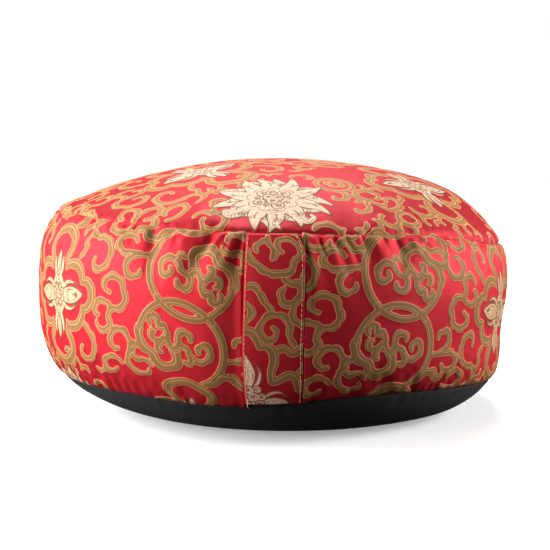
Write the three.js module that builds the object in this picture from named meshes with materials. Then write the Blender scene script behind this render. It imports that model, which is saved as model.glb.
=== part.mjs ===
// A round, filled meditation cushion: a brocade top panel and side band over a black cotton base
// panel, and a folded brocade strip that is sewn over the band at the front.
// Sizes are in millimetres. +Z is up, the strip faces -Y, and the flat of the base lies on z = 0.
// The filled form is cut along its seams, so the panels are three solids with a small gap between.
import * as THREE from 'three';

// Seams and the gap between pieces
const baseSeamHeight = 28.5;
const topSeamHeight = 139;
const pieceGap = 0.3;

// Front strip
const stripWidthAtSeams = 36.6;
const stripBelly = 2.2;
const stripThickness = 1.8;
const stripEdgeRound = 0.7;
const stripBedDepth = 1.6;
const stripBedSoftness = 2.5;
const stripColumns = 14;

// How finely the round forms are cut: the steps are crowded towards the front, where the folds are
const stepsRound = 176;
const crowding = 0.55;
const baseSteps = 7;
const bandSteps = 24;
const crownSteps = 12;

// Section of the base panel, from the edge of its flat foot up to the base seam
const baseSection = [
  { radius: 107, height: 0 },
  { radius: 120, height: 2.3 },
  { radius: 134, height: 8.2 },
  { radius: 147, height: 16.6 },
  { radius: 156, height: 24.6 },
  { radius: 157.6, height: 28.5 },
];

// Section of the side band, drawn in at both seams and fullest above the middle
const bandSection = [
  { radius: 157.8, height: 28.5 },
  { radius: 162.2, height: 34 },
  { radius: 165.8, height: 44 },
  { radius: 169, height: 62 },
  { radius: 170.4, height: 84 },
  { radius: 170.2, height: 106 },
  { radius: 167, height: 124 },
  { radius: 162.4, height: 134 },
  { radius: 158.4, height: 139 },
];

// Section of the crown, from the top seam to the axis
const crownSection = [
  { radius: 158.2, height: 139 },
  { radius: 155.5, height: 142.6 },
  { radius: 145, height: 148.2 },
  { radius: 128, height: 156.4 },
  { radius: 105, height: 165 },
  { radius: 72, height: 172.6 },
  { radius: 34, height: 177.6 },
  { radius: 0, height: 179 },
];

// Sideways lean of the filled form: the filling has slumped to the right over its foot
const lean = [
  { height: 0, shift: 13 },
  { height: 8, shift: 7 },
  { height: 28, shift: 1 },
  { height: 60, shift: 0 },
  { height: 139, shift: 2 },
  { height: 179, shift: 2 },
];

// The top seam slopes down to the right, and dips or lifts further at these angles from the front.
// Where it dips far, the top panel wraps over the shoulder and the seam swells outwards.
const topSeamSlope = 0.03;
const seamFade = 8;
const swellReach = 15;
const topSeamDips = [
  { angle: 90, drop: 20, spread: 32, swell: 6 },
  { angle: -62, drop: -2.5, spread: 26, swell: 0 },
  { angle: -118, drop: 4, spread: 30, swell: 1 },
];

// The base seam waves up and down as well, and its waves run out higher up the band
const baseSeamWaveTop = 100;
const baseSeamDips = [
  { angle: -12, drop: 2.8, spread: 14 },
  { angle: 25, drop: -2.6, spread: 18 },
  { angle: 88, drop: 8, spread: 26 },
  { angle: -150, drop: 3, spread: 30 },
];

// Folds of the band, running down from the top seam: angle from the front in degrees, drift in
// degrees over the fold's reach, height (a valley is negative), half width in degrees, reach down
const bandFolds = [
  { angle: -7.9, drift: -0.2, height: -3.2, width: 1.2, reach: 40 },
  { angle: -10.4, drift: -6.2, height: 3.2, width: 1.9, reach: 42 },
  { angle: -13.8, drift: -5.4, height: -3.6, width: 2.0, reach: 46 },
  { angle: -18.6, drift: -5.0, height: 1.6, width: 2.2, reach: 44 },
  { angle: -28, drift: -2.0, height: -1.8, width: 2.2, reach: 34 },
  { angle: 8.0, drift: 0.3, height: -3.0, width: 1.2, reach: 60 },
  { angle: 10.3, drift: 5.4, height: 3.2, width: 1.7, reach: 50 },
  { angle: 13.3, drift: 4.6, height: -3.2, width: 1.7, reach: 46 },
  { angle: 16.6, drift: 3.0, height: 1.6, width: 1.8, reach: 36 },
  { angle: 20.0, drift: 1.6, height: -2.2, width: 1.6, reach: 36 },
  { angle: 25.0, drift: 1.2, height: 1.2, width: 1.8, reach: 30 },
  { angle: 29.0, drift: 1.0, height: -1.6, width: 1.7, reach: 30 },
];

// Folds of the crown, running in from the top seam, with the same columns; reach is measured inwards
const crownFolds = [
  { angle: -18, drift: -1.0, height: 3.4, width: 4.2, reach: 40 },
  { angle: -9.5, drift: 1.0, height: -1.8, width: 2.0, reach: 34 },
  { angle: 12.0, drift: 1.0, height: 1.8, width: 2.4, reach: 34 },
  { angle: 19.5, drift: 2.0, height: -1.6, width: 1.8, reach: 34 },
  { angle: 25.0, drift: 2.0, height: 1.8, width: 2.2, reach: 36 },
  { angle: 30.5, drift: 3.0, height: -1.8, width: 2.0, reach: 40 },
];

// Broad swells of the filling, where a minus is a dent: a place on the form, how far it moves
// outwards and upwards there, and how wide it is
const swells = [
  { angle: -112, radius: 112, height: 165, out: 0, up: -4, width: 42 },
  { angle: 62, radius: 138, height: 10, out: 5, up: 0, width: 40 },
  { angle: 86, radius: 146, height: 148, out: 1, up: 5, width: 38 },
  { angle: 150, radius: 166, height: 118, out: -2.6, up: 0, width: 48 },
  { angle: -150, radius: 169, height: 80, out: 1.6, up: 0, width: 50 },
];

const degree = Math.PI / 180;
const seamRadius = crownSection[0].radius;

function readColumn(rows, key, at, column) {
  if (at <= rows[0][key]) return rows[0][column];
  for (let i = 1; i < rows.length; i += 1) {
    const before = rows[i - 1];
    const after = rows[i];
    if (at <= after[key]) {
      const share = (at - before[key]) / (after[key] - before[key]);
      return THREE.MathUtils.lerp(before[column], after[column], share);
    }
  }
  return rows[rows.length - 1][column];
}

function smoothSection(rows, steps) {
  const points = rows.map((row) => new THREE.Vector2(row.radius, row.height));
  return new THREE.SplineCurve(points).getPoints(steps);
}

function bell(offset, width) {
  return Math.exp(-((offset / width) ** 2));
}

// A fold starts at the seam, is highest in its first third and runs out at its reach
function foldHeight(folds, angle, fromSeam) {
  let total = 0;
  for (const fold of folds) {
    const along = fromSeam / fold.reach;
    if (along <= 0 || along >= 1) continue;
    const fade = Math.sin(Math.PI * along ** 0.6);
    total += fold.height * fade * bell(angle - fold.angle - fold.drift * along, fold.width);
  }
  return total;
}

// How far the band is pressed in behind the strip
function stripBed(across) {
  const halfWidth = (stripWidthAtSeams + stripBelly) / 2;
  const beyond = Math.max(0, Math.abs(across) - halfWidth - pieceGap);
  return stripBedDepth * bell(beyond, stripBedSoftness);
}

function pushOut(point, radius, distance) {
  point.x *= (radius + distance) / radius;
  point.y *= (radius + distance) / radius;
}

function addSwells(point, radius) {
  let out = 0;
  let up = 0;
  for (const swell of swells) {
    const x = swell.radius * Math.sin(swell.angle * degree);
    const y = -swell.radius * Math.cos(swell.angle * degree);
    const near = bell(point.distanceTo(new THREE.Vector3(x, y, swell.height)), swell.width);
    out += swell.out * near;
    up += swell.up * near;
  }
  if (radius > 0) pushOut(point, radius, out);
  point.z += up;
}

// The sum of one column of a table of dips at an angle from the front
function seamWave(dips, angle, column) {
  let total = 0;
  for (const dip of dips) {
    const apart = THREE.MathUtils.euclideanModulo(angle - dip.angle + 180, 360) - 180;
    total += dip[column] * bell(apart, dip.spread);
  }
  return total;
}

// Moves a point of the even, upright form to where the settled cushion has it
function settle(point) {
  const angle = Math.atan2(point.x, -point.y) / degree;
  const radius = Math.hypot(point.x, point.y);
  const { clamp } = THREE.MathUtils;
  const height = point.z;
  const atRim = (Math.min(radius, seamRadius) / seamRadius) ** seamFade;
  const topShare = clamp((height - baseSeamHeight) / (topSeamHeight - baseSeamHeight), 0, 1);
  const aboveBase = clamp((baseSeamWaveTop - height) / (baseSeamWaveTop - baseSeamHeight), 0, 1);
  const baseShare = Math.min(height / baseSeamHeight, aboveBase);
  const topDrop = topSeamSlope * point.x + seamWave(topSeamDips, angle, 'drop');
  const baseDrop = seamWave(baseSeamDips, angle, 'drop');
  const seamSwell = seamWave(topSeamDips, angle, 'swell') * bell(height - topSeamHeight, swellReach);
  addSwells(point, radius);
  point.z -= (topDrop * topShare + baseDrop * baseShare) * atRim;
  if (radius > 0) pushOut(point, radius, seamSwell * atRim);
  point.x += readColumn(lean, 'height', point.z, 'shift');
  return point;
}

// Turns a section round the axis, then shapes each point of the result with its own function
function turnedPiece(section, shape) {
  const geometry = new THREE.LatheGeometry(section, stepsRound);
  geometry.rotateX(Math.PI / 2);
  const positions = geometry.attributes.position;
  for (let i = 0; i < positions.count; i += 1) {
    const point = new THREE.Vector3().fromBufferAttribute(positions, i);
    const radius = Math.hypot(point.x, point.y);
    const even = Math.atan2(point.x, -point.y);
    const angle = even - crowding * Math.sin(even);
    point.x = radius * Math.sin(angle);
    point.y = -radius * Math.cos(angle);
    shape(point, radius, angle);
    settle(point);
    positions.setXYZ(i, point.x, point.y, point.z);
  }
  geometry.computeVertexNormals();
  return geometry;
}

function makeBase() {
  const topOfBase = baseSeamHeight - pieceGap;
  const side = smoothSection(baseSection, baseSteps);
  side[side.length - 1].y = topOfBase;
  const section = [new THREE.Vector2(0, 0), ...side, new THREE.Vector2(0, topOfBase)];
  return turnedPiece(section, () => {});
}

function makeBand(side) {
  const floor = new THREE.Vector2(0, baseSeamHeight);
  const ceiling = new THREE.Vector2(0, topSeamHeight);
  return turnedPiece([floor, ...side, ceiling], (point, radius, angle) => {
    if (radius < bandSection[0].radius / 2) return;
    const folds = foldHeight(bandFolds, angle / degree, topSeamHeight - point.z);
    pushOut(point, radius, folds - stripBed(radius * angle));
  });
}

function makeCrown() {
  const underside = topSeamHeight + pieceGap;
  const side = smoothSection(crownSection, crownSteps);
  side[0].y = underside;
  side[side.length - 1].x = 0;
  const section = [new THREE.Vector2(0, underside), ...side];
  return turnedPiece(section, (point, radius, angle) => {
    if (point.z < underside + pieceGap) return;
    point.z += foldHeight(crownFolds, angle / degree, seamRadius - radius);
  });
}

// A flat box is bent round the band: its width lies along the band, its height from seam to seam
function makeStrip(side) {
  const rows = side.length - 1;
  const geometry = new THREE.BoxGeometry(2, rows, 1, stripColumns, rows, 1);
  const positions = geometry.attributes.position;
  for (let i = 0; i < positions.count; i += 1) {
    const acrossShare = positions.getX(i);
    const row = Math.round(positions.getY(i) + rows / 2);
    const outside = positions.getZ(i) > 0;
    const width = stripWidthAtSeams + stripBelly * Math.sin(Math.PI * row / rows);
    const across = acrossShare * width / 2;
    const rounding = stripEdgeRound * Math.abs(acrossShare) ** 8;
    const lift = outside ? stripThickness - rounding : 0;
    const radius = side[row].x;
    const angle = across / radius;
    const point = new THREE.Vector3();
    point.x = (radius + lift) * Math.sin(angle);
    point.y = -(radius + lift) * Math.cos(angle);
    point.z = side[row].y;
    settle(point);
    positions.setXYZ(i, point.x, point.y, point.z);
  }
  geometry.computeVertexNormals();
  return geometry;
}

function addPiece(group, name, geometry, color, roughness) {
  const material = new THREE.MeshStandardMaterial({ color, roughness, metalness: 0 });
  const mesh = new THREE.Mesh(geometry, material);
  mesh.name = name;
  group.add(mesh);
}

const group = new THREE.Group();
group.name = 'meditation_cushion';

const bandSide = smoothSection(bandSection, bandSteps);
addPiece(group, 'base_panel', makeBase(), '#1b1b1e', 0.85);
addPiece(group, 'side_band', makeBand(bandSide), '#c3202f', 0.5);
addPiece(group, 'top_panel', makeCrown(), '#d0303a', 0.5);
addPiece(group, 'front_strip', makeStrip(bandSide), '#b81c2a', 0.5);

// The origin goes to the middle of the whole, at the height of the flat foot
const extent = new THREE.Box3().setFromObject(group);
const middle = extent.getCenter(new THREE.Vector3());
for (const mesh of group.children) {
  mesh.geometry.translate(-middle.x, -middle.y, -extent.min.z);
}

export default group;
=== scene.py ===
"""A round meditation cushion in red silk brocade, with a black cotton base and a sewn-on front strip.

Lengths in this script are millimetres until a mesh is made, and the front of the cushion faces -Y.
"""

import math

import bmesh
import bpy
import numpy as np
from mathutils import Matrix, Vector
from mathutils.bvhtree import BVHTree


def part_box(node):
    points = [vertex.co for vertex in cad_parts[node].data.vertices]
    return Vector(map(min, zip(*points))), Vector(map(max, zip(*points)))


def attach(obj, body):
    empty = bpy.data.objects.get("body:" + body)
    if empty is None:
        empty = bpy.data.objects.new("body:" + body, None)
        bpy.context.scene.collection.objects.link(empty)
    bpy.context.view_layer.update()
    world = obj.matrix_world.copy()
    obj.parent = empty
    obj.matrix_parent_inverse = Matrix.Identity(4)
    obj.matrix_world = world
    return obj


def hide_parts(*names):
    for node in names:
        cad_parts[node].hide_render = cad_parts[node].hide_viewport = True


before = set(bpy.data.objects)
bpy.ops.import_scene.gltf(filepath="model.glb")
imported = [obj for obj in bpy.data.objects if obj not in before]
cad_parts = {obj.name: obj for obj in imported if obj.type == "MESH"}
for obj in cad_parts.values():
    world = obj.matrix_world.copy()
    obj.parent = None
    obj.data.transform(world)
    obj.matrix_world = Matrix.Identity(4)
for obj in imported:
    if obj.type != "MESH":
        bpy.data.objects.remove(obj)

bpy.context.view_layer.update()

MM = 0.001
TAU = 2 * math.pi

# Size of the meshes, and how much closer their points are at the front and beside the seams
BAND_COLUMNS = 900
BAND_ROWS = 106
FRONT_CROWD = 0.2
SEAM_CROWD = 0.07
TOP_RINGS = 178
TOP_CROWD = 0.012
BASE_COLUMNS = 360
BASE_ROWS = 60
COVER_RINGS = 40
COVER_ROWS = 28
STRIP_ROWS = 110
STRIP_COLUMNS = 37
STRIP_SCANS = 60
STRIP_PROBES = 160

# How the solids' faces are read by rays and softened, how far from a seam they are drawn back onto it,
# and the seams' usual radius
FACE_COLUMNS = 720
RAY_LENGTH = 400
RAY_BEFORE = 300
SHARP_TURN = math.radians(35)
SOFTEN = 4.5
SEAM_PULL = 7
SEAM_RADIUS = 160

# Cloth simulation of the filled cover: its settings and steps, the most that a point may move, and how
# much of that the top takes on
CLOTH_SETTINGS = {
    "quality": 6,
    "mass": 0.35,
    "tension_stiffness": 30,
    "compression_stiffness": 30,
    "shear_stiffness": 8,
    "bending_stiffness": 0.4,
    "use_pressure": True,
    "uniform_pressure_force": 4.0,
    "shrink_min": -0.012,
    "vertex_group_mass": "seams",
}
CLOTH_STEPS = 20
MOST_SWELL = 2.8
TOP_SWELL = 0.4

# The band leans in at the lower right: how far, round which height, and over what height
LEAN = 3.6
LEAN_HEIGHT = 58
LEAN_SPREAD = 26

# Where the brocade lies on each panel. On the band it drifts up on the left and down on the right: each
# drift has its rise, the place it is round and its breadth. The hem's drift fades out above the seam.
BAND_RADIUS = 170.5
BAND_SHIFT = (85.7, 3.5)
DRIFTS = ((7.0, -103, 45), (-3.5, 215, 50))
HEM_RISE = 9.0
HEM_PLACE = -72
HEM_BREADTH = 48
HEM_REACH = 40.0
TOP_TURN = 40.4
TOP_ORIGIN = (36.6, 20.5)

# Gathers along the seams: waves round the cushion, the slower waves that make them strong or weak, how
# high they are and how far they reach
GATHERS = (61, 83, 97, 127, 149)
GATHER_PATCHES = (3, 5, 7, 11)
GATHER_HEIGHT = 0.16
GATHER_REACH = 3

# How far gold and cream threads stand up from the satin
GOLD_HEIGHT = 0.28
CREAM_HEIGHT = 0.32

# The front strip: the band's radius there, half its width, its thickness, how far its folded edges
# stand out, the room that both edges take, and the least width at which its solid is read
FRONT_RADIUS = 167
STRIP_HALF = 19.1
STRIP_THICK = 1.8
STRIP_EDGE = 1.35
FOLD_ROOM = 2.4
LEAST_STRIP = 30

# The band's filling is held down under the strip and swells up again beside it
HELD_HALF = 21
HELD_FADE = 24
LEFT_SHOULDER = 1.2
RIGHT_SHOULDER = 1.9

# Stitches along the strip's edges
STITCH_PITCH = 3.1
STITCH_LENGTH = 2.3
FIRST_STITCH = 2.2
LAST_STITCH = 1.5
THREAD_RADIUS = 0.25
THREAD_SIDES = 6

# One repeat of the brocade, the chart's grid, how finely strokes are laid on it, and how the figures are
# sized and turned in it
REPEAT_WIDTH = 231.9
REPEAT_HEIGHT = 392.0
HALF = REPEAT_WIDTH / 2
ROW = REPEAT_HEIGHT / 4
GRID_STEP = 0.4
FIELD_REACH = 3.0
SAMPLE_STEP = 0.6
LEAST_STROKE = 2.4
RING_WIDTH = 0.95
SMALL_SIZE = 1.08
FLOWER_TURN = -40.4
FLOWER_SHIFT = (-7.5, 10.0)

# The strip's own chart, which starts a little below the strip. Cloth is read from it up to a reach from
# its middle, and thread at a plain place.
STRIP_WIDTH = 60.0
STRIP_HEIGHT = 140.0
STRIP_START = 10
CHART_REACH = 29
THREAD_PLACE = 28

# The camera stands where the photograph was taken. PHOTO and FOCAL, the picture's side and the focal
# length, are in pixels, and CAMERA_PLACE is in metres.
PHOTO = 550
FOCAL = 1493.5
SENSOR = 36
CAMERA_PLACE = (-0.000757, -1.0991, 0.2225)
CAMERA_TILT = 6.68
CAMERA_TURN = -0.096

# Floor, backdrop, softboxes and the dim studio round them, in metres
ROUND_SIDES = 96
FLOOR_RADIUS = 3.4
FLOOR_DROP = 0.0005
FLOOR_GREY = 0.85
FLOOR_GLOW = 0.3
BACKDROP_RADIUS = 1.9
BACKDROP_LOW = -0.1
BACKDROP_HIGH = 3.0
SOFTBOX_SIZE = 0.8
SOFTBOX_AIM = (0, 0, 0.08)
ROOM_ROUND = 0.04
ROOM_BELOW = 0.60
ROOM_BEHIND = 0.5


# Surfaces


def bell(value, spread):
    """One at zero, falling away smoothly on both sides."""
    return np.exp(-(value / spread) ** 2)


def eased(share):
    """A share from 0 to 1 with a soft start and end."""
    return share * share * (3 - 2 * share)


def unit(vectors):
    """Vectors of length one."""
    return vectors / np.linalg.norm(vectors, axis=-1, keepdims=True)


def tree_of(node):
    """Ray-casting tree of a CAD node, in millimetres."""
    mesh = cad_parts[node].data
    points = [vertex.co / MM for vertex in mesh.vertices]
    return BVHTree.FromPolygons(points, [polygon.vertices[:] for polygon in mesh.polygons])


def seam_loop(node, lowest, highest):
    """Sharp corner line round a CAD node: its angle from the front, radius and height."""
    shape = bmesh.new()
    shape.from_mesh(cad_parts[node].data)
    bmesh.ops.remove_doubles(shape, verts=shape.verts, dist=1e-6)
    shape.normal_update()
    rows = []
    for edge in shape.edges:
        if len(edge.link_faces) != 2:
            continue
        turn = edge.link_faces[0].normal.angle(edge.link_faces[1].normal, 0)
        middle = (edge.verts[0].co + edge.verts[1].co) / 2 / MM
        if turn > SHARP_TURN and lowest < middle.z < highest:
            rows.append((math.atan2(middle.x, -middle.y), math.hypot(middle.x, middle.y), middle.z))
    shape.free()
    return np.array(sorted(rows))


def around(loop, angles):
    """Radius and height of a seam at any angles."""
    radius = np.interp(angles, loop[:, 0], loop[:, 1], period=TAU)
    height = np.interp(angles, loop[:, 0], loop[:, 2], period=TAU)
    return radius, height


def bell_weights(spread):
    """Weights of a bell-shaped average."""
    reach = max(1, int(3 * spread))
    steps = np.arange(-reach, reach + 1)
    weights = np.exp(-0.5 * (steps / max(spread, 1e-6)) ** 2)
    return weights / weights.sum()


def soften_round(grid, spread):
    """Bell-shaped average along the columns, which run right round."""
    weights = bell_weights(spread)
    reach = len(weights) // 2
    out = np.zeros_like(grid)
    for step, weight in zip(range(-reach, reach + 1), weights):
        out += weight * np.roll(grid, step, axis=1)
    return out


def soften_along(grid, spread, pole=False):
    """Bell-shaped average along the rows. The first row stays put, and so does the last, but for a pole."""
    weights = bell_weights(spread)
    reach = len(weights) // 2
    before = 2 * grid[:1] - grid[reach:0:-1]
    if pole:
        opposite = np.roll(grid, grid.shape[1] // 2, axis=1)
        after = opposite[-2:-reach - 2:-1]
    else:
        after = 2 * grid[-1:] - grid[-2:-reach - 2:-1]
    tall = np.concatenate([before, grid, after])
    out = np.zeros_like(grid)
    for index, weight in enumerate(weights):
        out += weight * tall[index:index + len(grid)]
    return out


def face_grid(tree, inside, angles, climbs):
    """Points of a node's outer face on rays towards a point inside it."""
    rows, columns = climbs.shape
    grid = np.zeros((rows, columns, 3))
    for column, angle in enumerate(angles):
        for row in range(rows):
            climb = climbs[row, column]
            level = math.cos(climb)
            away = Vector((level * math.sin(angle), -level * math.cos(angle), math.sin(climb)))
            hit = tree.ray_cast(inside + away * RAY_LENGTH, -away)[0]
            grid[row, column] = hit if hit is not None else (math.nan,) * 3
    return grid


def mend(grid):
    """Fills the few missed rays from their neighbours along the column."""
    rows = np.arange(len(grid))
    for column in range(grid.shape[1]):
        lost = np.isnan(grid[:, column, 0])
        if lost.any():
            for axis in range(3):
                grid[lost, column, axis] = np.interp(rows[lost], rows[~lost], grid[~lost, column, axis])
    return grid


def lengths(grid):
    """Length along each column, from its first row."""
    steps = np.linalg.norm(np.diff(grid, axis=0), axis=2)
    return np.concatenate([np.zeros((1, grid.shape[1])), np.cumsum(steps, axis=0)])


def respaced(grid, shares):
    """The same face with its rows at given shares of each column's length."""
    along = lengths(grid)
    out = np.zeros((len(shares), grid.shape[1], 3))
    for column in range(grid.shape[1]):
        wanted = shares * along[-1, column]
        for axis in range(3):
            out[:, column, axis] = np.interp(wanted, along[:, column], grid[:, column, axis])
    return out


def ring_points(radius, height, angles):
    """Points round the middle at given radii, heights and angles from the front."""
    return np.stack([radius * np.sin(angles), -radius * np.cos(angles), height], axis=-1)


def normals(grid, flip=1):
    """Unit normals of a grid whose columns run round."""
    round_way = np.roll(grid, -1, axis=1) - np.roll(grid, 1, axis=1)
    up_way = np.gradient(grid, axis=0)
    out = np.cross(round_way, up_way) * flip
    return out / (np.linalg.norm(out, axis=2, keepdims=True) + 1e-12)


# Strokes of the brocade's chart: each is a row of points with x, y and the stroke's width


def brush(rows):
    """A smooth stroke through given points."""
    p = np.array(rows, float)
    ends = np.vstack([2 * p[0] - p[1], p, 2 * p[-1] - p[-2]])
    out = []
    for i in range(len(p) - 1):
        a, b, c, d = ends[i:i + 4]
        n = max(2, int(np.linalg.norm(c[:2] - b[:2]) / SAMPLE_STEP))
        for t in np.arange(n) / n:
            out.append(0.5 * (2 * b + (c - a) * t + (2 * a - 5 * b + 4 * c - d) * t * t
                              + (3 * b - a - 3 * c + d) * t ** 3))
    out.append(p[-1])
    out = np.array(out)
    out[:, 2] = np.maximum(out[:, 2], 0.3)
    return out


def lobed(stroke, share=0.56, pitch=7.6, height=1.9):
    """A gold scroll's cloud edge: rounded lobes along the outer side of each curl, pinched between."""
    head = np.gradient(stroke[:, :2], axis=0)
    pace = np.linalg.norm(head, axis=1) + 1e-9
    head /= pace[:, None]
    along = np.concatenate([[0], np.cumsum(pace[1:])])
    reach = int(round(pitch / 2 / SAMPLE_STEP))
    window = np.ones(2 * reach + 1) / (2 * reach + 1)
    turn = np.gradient(np.unwrap(np.arctan2(head[:, 1], head[:, 0]))) / pace
    turn = np.convolve(np.pad(turn, reach, mode="edge"), window, mode="valid")
    count = max(1, int(round(along[-1] / pitch)))
    phase = 0.06 + 0.88 * along / along[-1]
    swell = height * np.abs(np.sin(math.pi * count * phase)) ** 0.75
    outward = np.column_stack([head[:, 1], -head[:, 0]]) * np.tanh(turn / 0.05)[:, None]
    out = stroke.copy()
    out[:, :2] += outward * swell[:, None] / 2
    out[:, 2] = np.maximum(1.3 * out[:, 2] - 1.1, LEAST_STROKE) * share + swell
    return out


def arc(centre, radius, start, end, width, end_width=None):
    """A stroke along a circle, from one angle in degrees to another."""
    n = max(3, int(radius * abs(math.radians(end - start)) / SAMPLE_STEP))
    a = np.radians(np.linspace(start, end, n))
    w = np.linspace(width, width if end_width is None else end_width, n)
    return np.column_stack([centre[0] + radius * np.cos(a), centre[1] + radius * np.sin(a), w])


def turned(x, y, width, at=(0, 0), turn=0):
    """A stroke turned by some degrees and moved to a place."""
    c, s = math.cos(math.radians(turn)), math.sin(math.radians(turn))
    return np.column_stack([x * c - y * s + at[0], x * s + y * c + at[1], width])


def placed(strokes, at=(0, 0), turn=0, mirror=False):
    """Strokes mirrored if asked, turned and moved to a place."""
    way = -1 if mirror else 1
    return [turned(way * stroke[:, 0], stroke[:, 1], stroke[:, 2], at, turn) for stroke in strokes]


def ring_half():
    """Half of a linked pair of rings. The ring grows out of the frame above and ends in a lobe, with
    forked curls inside the ring. The other half is this one turned by half a turn."""
    over = [arc((3.5, 25.0), 29.6, 222, 345, 5.4, 4.8)]
    under = [
        arc((3.5, 25.0), 29.6, 118, 224, 5.6, 5.6),
        brush([(32, 17.4, 5.4), (32.4, 22.4, 6), (30, 28, 6.6), (26, 31.6, 6), (23, 34, 6),
               (20.6, 37.8, 6.6), (15.6, 40.8, 7), (9.8, 39.6, 7), (6.2, 35.4, 6.4), (6.4, 30.4, 6.2),
               (8.2, 26.4, 5.6)]),
        brush([(-14.6, 48.6, 5.2), (-19.6, 46.6, 5.4), (-25, 42.8, 5.2), (-31.4, 43, 5.4),
               (-36.6, 46.4, 5.6), (-41, 44.6, 4.6)]),
    ]
    curls = [
        brush([(-3, 27.4, 6.2), (-6.6, 30.6, 6), (-11.6, 31.4, 6.4), (-15.8, 28.4, 6.8), (-16.8, 23.4, 6.6),
               (-13.2, 20.6, 6.2), (-9.8, 22.6, 5.4), (-10.4, 25.4, 4.4)]),
        brush([(-3.4, 28, 5.6), (-4.6, 31.4, 6.8), (-3, 34.6, 6), (0.4, 33.6, 4.4)]),
        brush([(-3.4, 27.8, 5.8), (-0.6, 24.4, 6), (3, 22, 6.6), (3.8, 17.6, 7), (0.6, 14.4, 6.8),
               (-3.4, 15.4, 6), (-4, 18.6, 4.6)]),
        brush([(1.4, 23.4, 5.4), (4.6, 24.6, 5.8), (8, 26.4, 6), (11, 23.2, 6.4), (14, 20.4, 6.6)]),
        brush([(13.4, 20.8, 6), (16, 24, 6.4), (18.2, 27.6, 6.8), (16, 30, 4.6)]),
        brush([(14.6, 21, 6), (18.4, 23, 6), (22.4, 22.4, 6.4), (23, 18.8, 5.4), (20.6, 18, 4.4)]),
        brush([(13.6, 20.6, 6.4), (12.4, 16.4, 6.8), (14.6, 13.2, 6.6), (18.2, 12.6, 6), (18.6, 9.6, 6),
               (21.6, 7.8, 5.8), (24.2, 10.4, 5.2), (23.2, 13, 4.2)]),
    ]
    return over, under, curls


def scrolls():
    """Cloud scrolls beside the rings and along the frames, on the left. The right has them turned."""
    return [
        brush([(-26, 30.6, 4), (-31, 29.6, 4.8), (-36.6, 28.2, 5.2), (-41.6, 24.4, 5.6), (-43.6, 19, 5.8),
               (-39.6, 14.8, 5.6), (-34.4, 16, 4.4), (-33.4, 19.4, 2.8)]),
        brush([(-35.6, 28.6, 4.8), (-41.6, 29.4, 5), (-48.4, 30, 5.4), (-53, 34.4, 6), (-50.2, 39.8, 5.8),
               (-43.6, 40.8, 5.2), (-38.4, 37.8, 3.4)]),
        brush([(-30, -28.6, 4), (-36, -29.6, 5.2), (-41.4, -26.6, 5.4), (-45.6, -22.6, 5.4),
               (-51.6, -22.6, 5.6), (-56.6, -27.4, 5.8), (-55.4, -33.4, 5.4), (-50.8, -34, 3.4)]),
        brush([(-38, -29, 5.4), (-39.8, -35, 5.2), (-35.4, -39.2, 5.4), (-29, -39.8, 4.8),
               (-24, -43.8, 2.8)]),
        brush([(-38.8, -34.6, 5.6), (-42.8, -40.6, 5.8), (-41.2, -47.6, 5.8), (-34.6, -51.6, 5.4),
               (-28.8, -50.4, 4.4), (-27.8, -47, 2.6)]),
        brush([(-56.4, 2.4, 3), (-60.4, 4.4, 4.8), (-60.6, 9.6, 5.6), (-54.6, 12.2, 6), (-47.6, 9.8, 5.6),
               (-45, 4, 5.8), (-43.8, -2.4, 6.2), (-48.4, -7.4, 5.8), (-54.6, -9.4, 5.4),
               (-58.4, -14.4, 5.6), (-57.6, -19, 5.4), (-62.4, -22.6, 5.4), (-68, -20.8, 4.6),
               (-69.4, -17.4, 2.6)]),
        brush([(-55.4, -9, 4.8), (-60.6, -5, 5.2), (-66.8, -4.6, 5.4), (-70.4, -9.2, 5.4),
               (-67.2, -13, 3.2)]),
        brush([(-71, 54.6, 3), (-77.6, 51.4, 4.8), (-80.6, 45.4, 5.4), (-76, 40.2, 5.4), (-68.6, 38.4, 5.2),
               (-61.6, 34.4, 5.6), (-59.2, 28.2, 6), (-61.2, 21.2, 5.8), (-67.6, 17.4, 5.8),
               (-73.2, 20, 4.8), (-72.2, 24.4, 2.8)]),
        brush([(-79.6, 43, 4.8), (-84.2, 37.6, 5), (-84.6, 31, 5), (-88.8, 25.6, 4)]),
        brush([(-81, 47.4, 4.2), (-87.6, 46.4, 5), (-91, 41.6, 3.2)]),
        brush([(-87.6, -15.6, 4), (-80, -22.4, 5.2), (-74.4, -31, 5.8), (-76.4, -40, 5.8),
               (-83.4, -43.4, 5.4), (-89, -38.8, 4.8), (-86.8, -34.2, 2.8)]),
    ]


def corner_scrolls():
    """A hook above the scrolls and two twigs below them, at the left corners of the ring's cell."""
    above = [
        brush([(-45, 53.6, 3.2), (-51.6, 55.4, 5), (-60.2, 54, 5.6), (-64.4, 48.4, 6), (-60, 43.4, 5.6),
               (-52.4, 43.8, 5), (-48.4, 47, 3)]),
    ]
    below = [
        brush([(-48.4, -45.8, 3), (-54.6, -42, 4.8), (-61.6, -42.6, 5.4), (-65.4, -47.6, 5.6),
               (-60.8, -52.4, 5.2), (-54.6, -51, 3.2)]),
        brush([(-64.6, -48, 5), (-70.4, -52.6, 4.8), (-76.4, -50.8, 3)]),
    ]
    return above, below


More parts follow.
